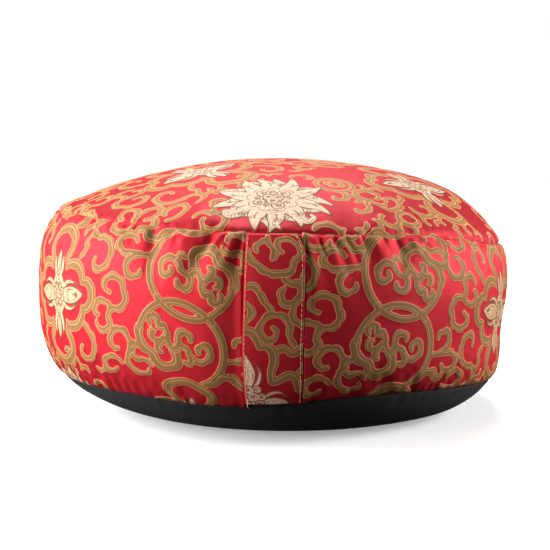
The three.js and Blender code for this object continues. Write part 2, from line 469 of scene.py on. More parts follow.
def frame_strokes():
    """Frame of the small flower: an arch above and below, a lobe at each side, and one at each corner."""
    out = []
    for up in (1, -1):
        out.append(brush([(-12.2, up * 19.6, 4.4), (-11.2, up * 25, 5.6), (-15.2, up * 30.6, 7),
                          (-15.4, up * 38, 7.6), (-9.6, up * 43.2, 7.8), (0, up * 46.4, 7.2),
                          (9.6, up * 43.2, 7.8), (15.4, up * 38, 7.6), (15.2, up * 30.6, 7),
                          (11.2, up * 25, 5.6), (12.2, up * 19.6, 4.4)]))
    for side in (1, -1):
        out.append(brush([(side * 31, 8.8, 4.6), (side * 36.6, 8.8, 6.6), (side * 41, 4.6, 7.6),
                          (side * 41.8, 0, 7.8), (side * 41, -4.6, 7.6), (side * 36.6, -8.8, 6.6),
                          (side * 31, -8.8, 4.6)]))
        for up in (1, -1):
            out.append(brush([(side * 11.2, up * 17.8, 3.4), (side * 13.4, up * 20, 5),
                              (side * 19, up * 21.2, 7), (side * 25.8, up * 19.8, 7.6),
                              (side * 30.4, up * 14.6, 7), (side * 31.4, up * 9.4, 5)]))
    return out


def petal(at, heading, length, width):
    """A straight pointed petal from its root outwards, fattest before its middle."""
    belly = 0.42
    t = np.linspace(0, 1, max(8, int(length / SAMPLE_STEP)))
    rising = np.sin(np.minimum(t / belly, 1) * math.pi / 2) * 0.45 + 0.55
    falling = np.cos(np.clip((t - belly) / (1 - belly), 0, 1) * math.pi / 2) ** 0.8
    fat = np.where(t < belly, rising, falling)
    return turned(t * length, 0 * t, np.maximum(width * fat, 0.35), at, heading)


def spiral(at, heading, size, turns, hand, width):
    """A thin line that rolls up, from its outer end at a place."""
    t = np.linspace(0, 1, max(12, int(size * turns * 8)))
    first = math.radians(heading)
    angle = first + hand * t * turns * TAU
    radius = size * (1 - 0.82 * t)
    x = at[0] - size * math.cos(first) + radius * np.cos(angle)
    y = at[1] - size * math.sin(first) + radius * np.sin(angle)
    return np.column_stack([x, y, np.full(len(t), width)])


def scales(rows, size):
    """Fish-scale lines: arcs in staggered rows, each row given by its height and half its breadth."""
    out = []
    for i, (y, half) in enumerate(rows):
        place = -half + (size if i % 2 else 0)
        while place <= half + 0.01:
            first = 195 if y < 0 else 15
            out.append(arc((place, y), size, first, first + 150, 0.85))
            place += 2 * size
    return out


def ring_of_petals(count, root, length, width, start):
    """Petals all round, each from its root outwards."""
    out = []
    for i in range(count):
        heading = start + 360.0 * i / count
        h = math.radians(heading)
        out.append(petal((root * math.cos(h), root * math.sin(h)), heading, length, width))
    return out


def small_flower():
    """A scaly rosette on a slender body, three blades above and below, and at each side a pointed bud
    between two curling leaves. Its layers are heart, inner petals, buds, leaves and veins."""
    heart = ring_of_petals(6, 0.8, 4.2, 3.4, 30)
    inner = ring_of_petals(8, 3.2, 5.2, 4.8, 22.5)
    bud, leaves, veins = [], [], []
    leaves.append(brush([(0, -14.6, 6.6), (0, -9.6, 11), (0, -4.6, 17), (0, 0, 20), (0, 4.6, 17),
                         (0, 9.6, 11), (0, 14.6, 6.6)]))
    veins += scales(((5.0, 5.6), (8.6, 3.4), (12.0, 1.8), (-5.0, 5.6), (-8.6, 3.4), (-12.0, 1.8)), 1.9)
    for up in (1, -1):
        bud.append(petal((0, up * 13.0), 90 * up, 15.8, 6.2))
        veins.append(brush([(0, up * 15, 0.85), (0.5, up * 19, 0.85), (0, up * 24, 0.8)]))
        for side in (1, -1):
            leaves.append(brush([(side * 2.6, up * 11.6, 3.6), (side * 4.8, up * 16, 4.2),
                                 (side * 5.4, up * 20.6, 3.6), (side * 5, up * 25.6, 1.2)]))
            leaves.append(brush([(side * 6.4, up * 4.4, 4), (side * 10.4, up * 7.4, 3.8),
                                 (side * 15.4, up * 8.4, 3.2), (side * 20.4, up * 7.2, 2.4),
                                 (side * 24.6, up * 4.2, 0.9)]))
            veins.append(brush([(side * 9, up * 6.6, 0.8), (side * 14.6, up * 8.2, 0.8),
                                (side * 19, up * 7.4, 0.7)]))
    for side in (1, -1):
        bud.append(brush([(side * 8.6, 0, 8.6), (side * 13.6, 0, 11.4), (side * 18.8, 0, 11),
                          (side * 24.4, 0, 7), (side * 29.8, 0, 1.4)]))
        first = 100 if side > 0 else -80
        veins.append(arc((side * 15.2, 0.0), 3.2, first, first + 160, 0.85))
        veins.append(brush([(side * 13, 3.6, 0.8), (side * 18.4, 3.4, 0.8), (side * 24, 0.8, 0.8)]))
        veins.append(brush([(side * 13, -3.6, 0.8), (side * 18.4, -3.4, 0.8), (side * 24, -0.8, 0.8)]))
        veins.append(brush([(side * 16.6, 0, 0.8), (side * 21, 0.3, 0.8), (side * 26, 0, 0.8)]))
    return heart, inner, bud, leaves, veins


# The large flower's outer petals: heading, reach, breadth and the sideways hook of the tip
PETALS = [(6, 40.5, 13.0, -8.0), (24, 39.5, 12.0, 6.5), (40, 37.5, 12.5, -6.0), (57, 38.0, 13.0, 8.0),
          (76, 35.0, 13.0, 7.0), (94, 36.5, 13.0, 7.5), (112, 38.5, 12.5, 7.0), (130, 38.5, 13.0, -6.0),
          (148, 42.5, 12.0, 7.0), (166, 40.5, 12.5, -6.0), (184, 42.5, 12.5, 8.0), (202, 38.0, 14.0, 9.0),
          (222, 39.5, 14.0, -8.0), (240, 38.5, 13.0, 7.0), (258, 37.5, 13.5, 7.0), (276, 38.5, 13.0, -6.0),
          (294, 36.0, 14.0, 8.0), (312, 37.5, 14.0, -7.0), (330, 39.5, 13.0, 6.0), (347, 42.5, 12.0, -8.0)]


def flame(heading, reach, breadth, hook, root=12.0):
    """A flame-shaped petal, broad most of the way, with a tip that hooks sideways."""
    t = np.linspace(0, 1, 48)
    along = root + (reach - root) * t
    across = 1.25 * hook * np.clip((t - 0.2) / 0.8, 0, 1) ** 1.9
    fat = np.where(t < 0.5, 0.86 + 0.14 * np.sin(np.minimum(t / 0.5, 1) * math.pi),
                   0.86 * np.clip((1 - t) / 0.5, 0, 1) ** 0.8)
    fat = fat * (1 + 0.05 * np.sin(t * 16 + heading))
    return turned(along, across, np.maximum(breadth * fat, 0.4), turn=heading)


def large_flower():
    """Three curls in the middle, a round of scales, and a rim of hooked petals. Its layers are heart,
    inner, outer and back petals, and veins."""
    thirds = [(3.6 * math.cos(h), 3.6 * math.sin(h)) for h in (0.4, 2.5, 4.6)]
    heart = [arc(third, 0.4, 0, 360, 8.0) for third in thirds]
    veins = [spiral((x + 2.0, y), 0, 2.2, 1.2, 1, 0.8) for x, y in thirds]
    inner, outer, back = [], [], [arc((0, 0), 9.0, 0, 360, 20.0)]
    for i in range(9):
        h = math.radians(40 * i + 8)
        x, y = 10.4 * math.cos(h), 9.8 * math.sin(h)
        (inner if i % 2 else outer).append(arc((x, y), 1.4, 0, 360, 6.6 + 0.5 * math.sin(2.2 * i)))
        outer_end = (x + 2.6 * math.cos(h), y + 2.6 * math.sin(h))
        veins.append(spiral(outer_end, math.degrees(h), 2.6, 1.3, 1 if i % 3 else -1, 0.8))
        veins.append(arc((1.32 * x, 1.32 * y), 4.2, math.degrees(h) - 75, math.degrees(h) + 75, 0.8))
    for i, (heading, reach, breadth, hook) in enumerate(PETALS):
        (outer if i % 2 else back).append(flame(heading, reach, breadth, hook))
        middle = flame(heading, reach * 0.86, 1.0, hook * 0.7, 20.0)
        middle[:, 2] = 0.8
        veins.append(middle[:30])
        side = 1 if hook > 0 else -1
        start = turned(0.72 * reach, 1.6 * side, 1.0, turn=heading)[0, :2]
        veins.append(spiral(start, heading + 90 * side, 2.6, 1.0, side, 0.8))
    # Two petals with rolled edges and a twisted one at the front
    outer.append(brush([(-15, -12, 6), (-23, -17.6, 7), (-30, -19.6, 6.4), (-32, -15, 4.6),
                        (-28, -12.4, 3)]))
    outer.append(brush([(12, -15, 6), (17, -22, 7.4), (22.6, -26.6, 7), (27, -23, 4.6), (25, -19.6, 3)]))
    outer.append(brush([(3, -10, 5), (1, -18, 5.6), (-0.6, -26, 5.4), (2.2, -32, 4.6), (5.6, -36, 1.2)]))
    for k in range(7):
        veins.append(brush([(-1.8 + 0.2 * k, -14 - 2.8 * k, 0.7), (1, -15.6 - 2.8 * k, 0.7),
                            (3.4 - 0.3 * k, -15 - 2.8 * k, 0.7)]))
    for k in range(5):
        veins.append(brush([(-19 - 2.6 * k, -12.6 - 1.6 * k, 0.7), (-20.6 - 2.4 * k, -15.4 - 1.6 * k, 0.7),
                            (-20.4 - 2.2 * k, -18.2 - 1.6 * k, 0.7)]))
        veins.append(brush([(13 + 2.2 * k, -20.4 - 2 * k, 0.7), (16 + 2.2 * k, -19.6 - 2 * k, 0.7),
                            (18.2 + 2 * k, -17.6 - 1.8 * k, 0.7)]))
    return heart, inner, outer, back, veins


def beside_flower():
    """A small ring on the large flower's right, the curl inside it, and the twigs round the flower."""
    ring = [arc((41.5, 31.0), 12.4, 0, 360, 4.6)]
    twigs = [
        brush([(35.5, 30, 3), (37.6, 35, 4.6), (42.6, 36.6, 5.2), (46.6, 32.6, 5.2), (44, 27.6, 5),
               (40, 28, 4.2), (39.8, 31, 3)]),
        brush([(45, 19.4, 4.6), (48.6, 13.6, 5.4), (47.4, 7.4, 5.6), (42.6, 6.2, 4.6), (41.4, 9.8, 3)]),
        brush([(49, 12.6, 5), (54.6, 13.6, 5.4), (58, 9.4, 5.2), (55.4, 5.6, 3)]),
        brush([(27, -33.4, 3.6), (31, -29.8, 5.4), (37, -28.4, 6), (43.4, -30.2, 5.4), (47.4, -33.8, 3.4)]),
        brush([(-24, 44, 3), (-19.6, 47.6, 5), (-14, 46, 5.4), (-11.6, 41, 3.2)]),
        brush([(12, 41, 3), (15.6, 45.6, 5.2), (21.6, 46.6, 5.4), (25.6, 42, 4.8), (22.6, 38.8, 3)]),
    ]
    return ring, twigs


def hooks():
    """Scrolls round the large flower, which has no frame. They stay clear of the ring beside it."""
    side = [
        brush([(-57.2, 22, 3), (-61.4, 18.6, 5), (-60.2, 12.6, 5.6), (-53.6, 9.4, 5.8), (-47.6, 12.4, 5.4),
               (-46.6, 18.4, 5.4), (-50.4, 22.2, 4.6), (-54, 27.6, 5), (-59.6, 29.2, 3.2)]),
        brush([(-55.4, 9.6, 5), (-60.4, 4.6, 4.6), (-61, 0, 4.4)]),
        brush([(-51, 22, 4.4), (-45, 26.6, 5), (-40.6, 32.4, 5.4), (-34, 33.6, 5.4), (-32.6, 28.8, 3)]),
    ]
    middle = [
        brush([(-20, 50.6, 3.2), (-14.4, 53.6, 5.2), (-8, 50.6, 5.4), (-6.4, 45.4, 4.8), (-10.8, 42.6, 3)]),
        brush([(-28.6, 43.6, 3), (-24, 47.4, 5), (-18.4, 45.6, 3.4)]),
    ]
    out = []
    for turn in (0, 180):
        for mirror in (False, True):
            beside_ring = mirror and turn == 0
            out += placed(middle if beside_ring else side + middle, turn=turn, mirror=mirror)
    return out


def sprigs():
    """Small curls between the large flower's ring and the small flower's frame."""
    return [
        brush([(54, -27, 3), (56.5, -33.5, 4.8), (62.5, -35.5, 5.4), (69, -33, 5.6), (71.5, -26.5, 5.2),
               (67, -22.5, 4.6), (63, -26, 3)]),
        brush([(71, -28.5, 4.6), (77, -25.5, 5), (80, -21, 4.4)]),
        brush([(77, -36, 3), (80, -42, 5), (86, -45, 5.6), (92.5, -42.5, 5.4), (94, -36.5, 4.8),
               (90, -33.5, 3)]),
        brush([(83, -44, 4.8), (79, -49.5, 4.6), (80.5, -54.5, 3)]),
        brush([(60, -15, 3), (62.5, -9.5, 4.8), (68, -8.5, 5), (70.5, -13, 3)]),
    ]


def corner_cloud():
    """A forked cloud that fills the corner between two large flowers."""
    return [
        brush([(-13, 3, 3.2), (-9, 7.6, 5), (-2.6, 6.6, 5.6), (1.4, 1.4, 5.8), (7.6, -2.6, 5.4),
               (14, -0.6, 5.6), (16, 5, 5.4), (11.6, 8.6, 3.4)]),
        brush([(7, -2.4, 5), (8.6, -8.6, 5.2), (15, -11.4, 5.2), (20, -8, 3.2)]),
        brush([(0.8, 1, 5), (-4.6, -4, 5.2), (-10.6, -4, 5), (-13.6, -0.4, 3)]),
        brush([(-4.6, -4, 4.8), (-5, -10.6, 5), (0.6, -13.6, 4.6), (4, -10.4, 3)]),
    ]


def widened(strokes, share):
    """Strokes with their widths changed by a share."""
    return [np.column_stack([stroke[:, :2], stroke[:, 2] * share]) for stroke in strokes]


def lobed_all(strokes, *shape):
    """Each stroke with a cloud's edge."""
    return [lobed(stroke, *shape) for stroke in strokes]


def brocade():
    """All strokes of one repeat, layer by layer: gold on top, gold below, and the cream flowers' five."""
    over, under, curls = ring_half()
    above = widened(over, RING_WIDTH) + lobed_all(curls, 0.52, 6.5, 1.5)
    below = widened(under[:1], RING_WIDTH) + lobed_all(under[1:], 0.80, 8.0, 2.2) + lobed_all(scrolls())
    corner_above, corner_below = [lobed_all(strokes) for strokes in corner_scrolls()]
    cloud = lobed_all(corner_cloud())
    around_flower = lobed_all(hooks() + sprigs())
    ring, twigs = beside_flower()
    gold_top, gold_low, cream = [], [], ([], [], [], [], [])
    for at in ((0.0, 0.0), (HALF, ROW)):
        for turn in (0, 180):
            gold_top += placed(above, at, turn)
            gold_low += placed(below, at, turn)
    gold_low += placed(corner_above + corner_below) + placed(corner_above + corner_below, turn=180)
    gold_low += placed(corner_above, (HALF, ROW)) + placed(corner_below, (HALF, ROW), 180)
    gold_low += placed(cloud, (HALF / 2, 2.5 * ROW)) + placed(cloud, (-HALF / 2, 2.5 * ROW), mirror=True)
    for at in ((0.0, ROW), (0.0, 3 * ROW), (HALF, 0.0), (HALF, 2 * ROW)):
        gold_top += placed(frame_strokes(), at)
        for layer, strokes in zip(cream, small_flower()):
            layer.extend(placed([stroke * SMALL_SIZE for stroke in strokes], at))
    for at, turn in (((0.0, 2 * ROW), 180), ((HALF, 3 * ROW), 0)):
        gold_low += placed(around_flower, at, turn)
        middle = turned(*FLOWER_SHIFT, 1.0, at, turn)[0, :2]
        gold_top += placed(ring, middle, turn + FLOWER_TURN)
        gold_low += placed(lobed_all(twigs), middle, turn + FLOWER_TURN)
        for layer, strokes in zip(cream, large_flower()):
            layer.extend(placed(strokes, middle, turn + FLOWER_TURN))
    return [gold_top, gold_low, *cream]


def chart_of(layers, width, height):
    """A grid that repeats, with two numbers for each layer: the distance to its strokes' edges, and the
    place across the stroke, from -1 to 1."""
    nx, ny = int(round(width / GRID_STEP)), int(round(height / GRID_STEP))
    dx, dy = width / nx, height / ny
    fields = []
    for strokes in layers:
        dist = np.full((ny, nx), FIELD_REACH, np.float32)
        side = np.zeros((ny, nx), np.float32)
        for stroke in strokes:
            head = np.gradient(stroke[:, :2], axis=0)
            head /= np.linalg.norm(head, axis=1)[:, None] + 1e-9
            for (x, y, w), (tx, ty) in zip(stroke, head):
                reach = w / 2 + FIELD_REACH
                i0, i1 = math.floor((x - reach) / dx), math.ceil((x + reach) / dx)
                j0, j1 = math.floor((y - reach) / dy), math.ceil((y + reach) / dy)
                ii, jj = np.arange(i0, i1 + 1), np.arange(j0, j1 + 1)
                gx, gy = ii * dx - x, jj * dy - y
                d = np.sqrt(gx[None, :] ** 2 + gy[:, None] ** 2) - w / 2
                block = np.ix_(jj % ny, ii % nx)
                old = dist[block]
                closer = d < old
                dist[block] = np.where(closer, d, old)
                across = (gy[:, None] * tx - gx[None, :] * ty) / (w / 2)
                side[block] = np.where(closer, across, side[block])
        fields += [dist, side]
    return np.stack(fields, axis=-1)


def strip_motifs():
    """What shows on the front strip: half a flower below, a rolled scroll, and a lobed arc above. They
    are measured from the strip's middle and from the base seam up."""
    gold_above = [
        brush([(-24, 47, 5.6), (-19, 50.6, 6.2), (-13.4, 50.2, 6.4), (-9.6, 45.4, 5.8), (-7.8, 40.6, 5)]),
        brush([(-8.2, 41, 5), (-3.6, 41, 5.8), (0.2, 37, 6.4), (0.8, 30.6, 6.2), (-1, 24.2, 5.4),
               (-0.4, 17.4, 5.4), (4, 18.8, 5.8), (9.6, 21.8, 6.4), (13.8, 20.4, 6.4), (15.6, 15.6, 5.6),
               (16.2, 11.6, 4.8)]),
        brush([(-24, 107, 5.2), (-18, 101, 5.6), (-14.6, 96.4, 5.6), (-9.6, 92, 5.6), (-4, 88.6, 5.8),
               (1.6, 87.6, 6), (7.4, 88.2, 6), (11, 90.8, 5.6), (12.4, 95, 5), (15.4, 98, 5.2),
               (15.8, 103, 5), (12.8, 107.6, 4.8), (8, 109.4, 4.6), (3.6, 107.8, 4.2), (3, 103.6, 4),
               (5.2, 101.4, 2.8)]),
        brush([(-3.4, 112, 4.4), (-2.8, 106.6, 4.6), (-0.8, 102.6, 5.4), (-1.2, 98.6, 6.4),
               (-1.8, 96.8, 5)]),
        brush([(-3.6, 109, 4), (-8, 107.8, 4.2), (-11.4, 105, 4.4), (-10.8, 101.4, 3)]),
        brush([(13, 42, 4.4), (10.4, 48, 5), (9.6, 53.6, 5.2), (6.2, 59, 5.4), (0.2, 61, 5.4),
               (-5.8, 57.6, 5.4), (-7.6, 51.8, 5.4), (-4.8, 46.8, 5.2), (0, 46.4, 5), (1.6, 50, 4.4),
               (-1, 52.4, 2.8)]),
    ]
    gold_below = [
        brush([(1.9, 36.4, 4.8), (5.3, 38.6, 5.6), (8.8, 38.6, 6), (11.5, 37.2, 5.6), (15.6, 38.6, 5.6),
               (19, 40.3, 5.6), (26, 43, 5)]),
        brush([(18, 40.6, 4.4), (20.6, 34, 5), (19.2, 27.6, 5), (16, 24, 3.6)]),
        brush([(6, 86.4, 4.6), (9.4, 81.6, 5), (15.4, 79, 5.6), (15.8, 73.4, 5.4), (11.8, 69, 5.4),
               (6.4, 69.2, 5.2), (4.6, 74, 5), (6.4, 77.6, 3.2)]),
        brush([(14.6, 71.6, 4.8), (12.4, 65, 5), (12.8, 59, 5.2), (17, 55.6, 5.4), (23, 56, 5)]),
        brush([(19.4, 89, 4.2), (18.6, 82, 4.6), (20.6, 75, 4.6)]),
        brush([(-24, 74, 4.8), (-18, 78, 5), (-12.6, 78.4, 5.2), (-8.6, 74, 5), (-5.6, 69.2, 4.8),
               (-2.6, 64.6, 4.6), (-1.8, 61, 4.6)]),
        brush([(-22, 68.4, 4), (-16.4, 66.6, 5), (-14.4, 62.4, 5.4), (-16.6, 58.2, 5), (-22, 57, 4)]),
        brush([(22, 106, 4.4), (18.8, 112, 4.6), (14, 116, 4.4)]),
    ]
    scale_spots = ((-16.0, 11.0, 6.4), (-11.0, 11.6, 6.0), (-13.6, 5.8, 7.4),
                   (-18.2, 5.0, 6.4), (-8.2, 6.0, 6.2), (-9.6, 1.0, 6.0))
    spots = [brush([(x, y, size), (x + 0.4, y + 0.3, size),
                    (x + 0.8, y, size)]) for x, y, size in scale_spots]
    cream = [
        spots[::2],
        spots[1::2],
        [brush([(-7, 0.8, 6), (-1, 2.6, 6.8), (4.6, 2.6, 5.4), (8.4, 1.6, 3), (11.6, 0.4, 0.8)]),
         brush([(-19, 0, 8), (-18.4, 5, 8), (-18.2, 10, 7)]),
         brush([(-18.4, 11, 6), (-16.6, 16.6, 8.4), (-15.6, 22.6, 9.6), (-16.4, 28.6, 7),
                (-17.4, 33.2, 3.8), (-17.6, 37, 0.8)])],
        [brush([(-12.6, 13, 3.2), (-9.4, 17.2, 3.2), (-8.2, 22, 2.8), (-8.8, 26, 2), (-10.9, 29.8, 0.7)]),
         brush([(-6.4, 4.8, 3.2), (-2.4, 8.4, 3.2), (2.4, 9.8, 3), (6, 8.8, 2.2), (8.6, 6.2, 0.7)]),
         brush([(-16, 0.4, 8), (-10, 0.4, 9), (-6, 2, 8)])],
        [spiral((x + size * 0.3, y), 0, size * 0.3, 1.2, 1, 0.6) for x, y, size in scale_spots]
        + [brush([(-17, 14, 0.6), (-15.6, 21, 0.6), (-16.6, 30, 0.5)]),
           brush([(-6, 1.6, 0.6), (1, 3, 0.6), (8, 1.6, 0.5)]),
           brush([(-13.6, 17, 0.5), (-12.8, 22, 0.5), (-14.6, 27, 0.5)]),
           brush([(-5, 6, 0.5), (0.6, 9.4, 0.5), (5.6, 8.8, 0.5)])],
    ]
    gold_above = widened(gold_above[:2], 0.98) + [lobed(gold_above[2])] + lobed_all(gold_above[3:], 0.52)
    gold_below = lobed_all(gold_below, 0.6)
    layers = [gold_above, gold_below, *cream]
    return [placed(strokes, (STRIP_WIDTH / 2, STRIP_START)) for strokes in layers]


CHART = chart_of(brocade(), REPEAT_WIDTH, REPEAT_HEIGHT)
STRIP_CHART = chart_of(strip_motifs(), STRIP_WIDTH, STRIP_HEIGHT)


def brocade_at(x, y, chart=CHART, width=REPEAT_WIDTH, height=REPEAT_HEIGHT):
    """The chart's fields at points of the cloth: two numbers for each layer, its distance and its side."""
    ny, nx = chart.shape[:2]
    column, row = x / width * nx, y / height * ny
    c0, r0 = np.floor(column).astype(int), np.floor(row).astype(int)
    fc, fr = (column - c0)[:, None], (row - r0)[:, None]
    out = np.zeros((len(x), chart.shape[2]))
    for dr, wr in ((0, 1 - fr), (1, fr)):
        for dc, wc in ((0, 1 - fc), (1, fc)):
            out += chart[(r0 + dr) % ny, (c0 + dc) % nx] * wr * wc
    return out


# Panel shapes

TOP_SEAM = seam_loop("top_panel", lowest=100, highest=200)
BASE_SEAM = seam_loop("side_band", lowest=5, highest=60)


def smooth_seam(loop, angles):
    """Softened radius and height of a seam at evenly spaced angles."""
    radius, height = around(loop, angles)
    spread = SOFTEN / (SEAM_RADIUS * TAU / len(angles))
    both = soften_round(np.stack([radius, height])[..., None], spread)[..., 0]
    return both[0], both[1]


def panel(node, angles, lower, upper, inside_height, rows, pole=0):
    """Smooth outer face of a panel, from its lower seam to its upper one. A panel with a pole has one seam
    and ends at its middle, above (1) or below (-1)."""
    inside = Vector((0, 0, inside_height))
    first = np.arctan2(lower[1] - inside_height, lower[0])
    if pole:
        last = np.full(len(angles), math.radians(89.99 * pole))
    else:
        last = np.arctan2(upper[1] - inside_height, upper[0])
    climbs = first + (last - first) * np.linspace(0, 1, rows)[:, None]
    grid = mend(face_grid(tree_of(node), inside, angles, climbs))
    grid = respaced(grid, np.linspace(0, 1, rows))
    length = lengths(grid)[-1].mean() / (rows - 1)
    spacing = SEAM_RADIUS * TAU / len(angles)
    grid = soften_round(grid, SOFTEN / spacing)
    grid = soften_along(grid, SOFTEN / length, bool(pole))
    along = lengths(grid)
    start = ring_points(lower[0], lower[1], angles) - grid[0]
    grid += bell(along, SEAM_PULL)[..., None] * start
    if not pole:
        end = ring_points(upper[0], upper[1], angles) - grid[-1]
        grid += bell(along[-1] - along, SEAM_PULL)[..., None] * end
    return grid


EVEN = np.linspace(0, TAU, FACE_COLUMNS, endpoint=False)
TOP_RIM = smooth_seam(TOP_SEAM, EVEN)
BASE_RIM = smooth_seam(BASE_SEAM, EVEN)
BAND_FACE = panel("side_band", EVEN, BASE_RIM, TOP_RIM, inside_height=85, rows=120)
TOP_FACE = panel("top_panel", EVEN, TOP_RIM, None, inside_height=60, rows=150, pole=1)
BASE_FACE = panel("base_panel", EVEN, BASE_RIM, None, inside_height=60, rows=110, pole=-1)


def on_face(grid, angles, rows):
    """Points of a face at any angles and row numbers, both of the same shape."""
    count = grid.shape[1]
    column = angles / TAU * count
    c0, r0 = np.floor(column).astype(int), np.clip(np.floor(rows).astype(int), 0, len(grid) - 2)
    fc, fr = (column - c0)[..., None], (rows - r0)[..., None]
    c0, c1 = c0 % count, (c0 + 1) % count
    return ((grid[r0, c0] * (1 - fc) + grid[r0, c1] * fc) * (1 - fr)
            + (grid[r0 + 1, c0] * (1 - fc) + grid[r0 + 1, c1] * fc) * fr)


def ring_mesh(rings):
    """A disc of points in rings of 6, 12, 18 and so on: their angles and shares of the way out, the
    triangles, and the number of each ring's first point."""
    angles, shares = [np.zeros(1)], [np.zeros(1)]
    faces = []
    start = [0]
    for ring in range(1, rings + 1):
        start.append(start[-1] + (6 * (ring - 1) if ring > 1 else 1))
        angles.append(np.arange(6 * ring) / (6 * ring) * TAU)
        shares.append(np.full(6 * ring, ring / rings))
    for ring in range(1, rings + 1):
        inner, outer = max(1, 6 * (ring - 1)), 6 * ring
        for sector in range(6):
            for step in range(ring):
                a = start[ring] + (sector * ring + step) % outer
                b = start[ring] + (sector * ring + step + 1) % outer
                c = start[ring - 1] + (sector * (ring - 1) + step) % inner
                faces.append((a, b, c))
                if step < ring - 1:
                    d = start[ring - 1] + (sector * (ring - 1) + step + 1) % inner
                    faces.append((b, d, c))
    return np.concatenate(angles), np.concatenate(shares), faces, start


# Cloth simulation


def filled_cover():
    """Blows up a coarse cover of band and top with cloth simulation. Gives how far each point moves."""
    columns = 6 * COVER_RINGS
    angles = np.arange(columns) / columns * TAU
    rows = np.linspace(0, 1, COVER_ROWS + 1)
    wide = np.broadcast_to(angles, (COVER_ROWS + 1, columns))
    tall = np.broadcast_to(rows[:, None], wide.shape)
    band = on_face(BAND_FACE, wide, tall * (len(BAND_FACE) - 1))
    disc_angles, disc_shares, disc_faces, starts = ring_mesh(COVER_RINGS)
    disc = on_face(TOP_FACE, disc_angles, (1 - disc_shares) * (len(TOP_FACE) - 1))
    below = COVER_ROWS * columns
    points = np.concatenate([band[:-1].reshape(-1, 3), disc])
    number = np.arange(below).reshape(COVER_ROWS, columns)
    number = np.concatenate([number, below + starts[-1] + np.arange(columns)[None]])
    faces = [(int(number[r, c]), int(number[r, (c + 1) % columns]), int(number[r + 1, (c + 1) % columns]),
              int(number[r + 1, c])) for r in range(COVER_ROWS) for c in range(columns)]
    faces += [tuple(below + v for v in face) for face in disc_faces]
    mesh = bpy.data.meshes.new("cover")
    mesh.from_pydata((points * MM).tolist(), [], faces)
    cover = bpy.data.objects.new("cover", mesh)
    bpy.context.collection.objects.link(cover)
    pinned = cover.vertex_groups.new(name="seams")
    pinned.add([int(v) for v in number[0]] + [int(v) for v in number[-1]], 1.0, "REPLACE")
    cloth = cover.modifiers.new("cloth", "CLOTH")
    for key, value in CLOTH_SETTINGS.items():
        setattr(cloth.settings, key, value)
    cloth.settings.effector_weights.gravity = 0
    cloth.collision_settings.use_collision = False
    cloth.collision_settings.use_self_collision = False
    for step in range(1, CLOTH_STEPS + 1):
        bpy.context.scene.frame_set(step)
    held = cover.evaluated_get(bpy.context.evaluated_depsgraph_get())
    moved = np.zeros(len(points) * 3)
    held.data.vertices.foreach_get("co", moved)
    moved = moved.reshape(-1, 3) / MM - points
    bpy.context.scene.frame_set(1)
    bpy.data.objects.remove(cover)
    bpy.data.meshes.remove(mesh)
    size = np.linalg.norm(moved, axis=1, keepdims=True)
    moved *= np.tanh(size / MOST_SWELL) * MOST_SWELL / np.maximum(size, 1e-6)
    band_move = moved[number.reshape(-1)].reshape(COVER_ROWS + 1, columns, 3)
    top_move = np.zeros((COVER_RINGS + 1, columns, 3))
    for ring in range(COVER_RINGS + 1):
        count = max(1, 6 * ring)
        first = below + starts[ring]
        ring_angles = np.arange(count) / count * TAU
        for axis in range(3):
            ring_move = moved[first:first + count, axis]
            top_move[COVER_RINGS - ring, :, axis] = np.interp(angles, ring_angles, ring_move, period=TAU)
    return band_move, top_move


# Meshes of the pieces


def build_mesh(name, points, faces):
    """A smooth-shaded piece from points in millimetres."""
    mesh = bpy.data.meshes.new(name)
    mesh.from_pydata((np.asarray(points) * MM).tolist(), [], faces)
    mesh.update()
    mesh.polygons.foreach_set("use_smooth", np.ones(len(mesh.polygons), bool))
    piece = bpy.data.objects.new(name, mesh)
    bpy.context.collection.objects.link(piece)
    return piece


def add_field(piece, name, values):
    """Three numbers for each point, for the materials."""
    field = piece.data.attributes.new(name, "FLOAT_VECTOR", "POINT")
    field.data.foreach_set("vector", np.ascontiguousarray(values, np.float32).reshape(-1))


def add_uv(piece, across, up):
    """A map for baking, from 0 to 1 each way. A face over the join takes its low corners past the end."""
    layer = piece.data.uv_layers.new(name="OFBake")
    corners = np.zeros(len(piece.data.loops), np.int32)
    piece.data.loops.foreach_get("vertex_index", corners)
    u, v = across[corners], up[corners]
    starts = np.zeros(len(piece.data.polygons), np.int32)
    sizes = np.zeros(len(piece.data.polygons), np.int32)
    piece.data.polygons.foreach_get("loop_start", starts)
    piece.data.polygons.foreach_get("loop_total", sizes)
    low = np.minimum.reduceat(u, starts)
    high = np.maximum.reduceat(u, starts)
    split = np.repeat(high - low > 0.5, sizes)
    u = np.where(split & (u < 0.5), u + 1, u)
    u = u / max(1.0, u.max())
    layer.data.foreach_set("uv", np.column_stack([u, v]).astype(np.float32).reshape(-1))


def grid_faces(rows, columns):
    """Four-sided faces of a grid whose columns run right round."""
    faces = []
    for row in range(rows - 1):
        for column in range(columns):
            after = (column + 1) % columns
            faces.append((row * columns + column, row * columns + after,
                          (row + 1) * columns + after, (row + 1) * columns + column))
    return faces


def seam_dip(distance):
    """How far the cloth draws in beside a seam."""
    return 0.9 * bell(distance, 1.3) + 0.2 * bell(distance, 4.5)


def puckers(angles, distance, seed):
    """Small uneven gathers along a seam."""
    rng = np.random.default_rng(seed)
    out = np.zeros_like(distance)
    for count in GATHERS:
        phase = rng.uniform(0, TAU)
        out += np.sin(angles * count + phase) * rng.uniform(0.5, 1.0)
    strength = np.zeros_like(distance)
    for count in GATHER_PATCHES:
        strength += np.sin(angles * count + rng.uniform(0, TAU)) * 0.35
    strength = np.clip(0.75 + strength, 0.15, 1.6)
    share = distance / GATHER_REACH
    return out * strength * GATHER_HEIGHT * share * np.exp(1 - share)


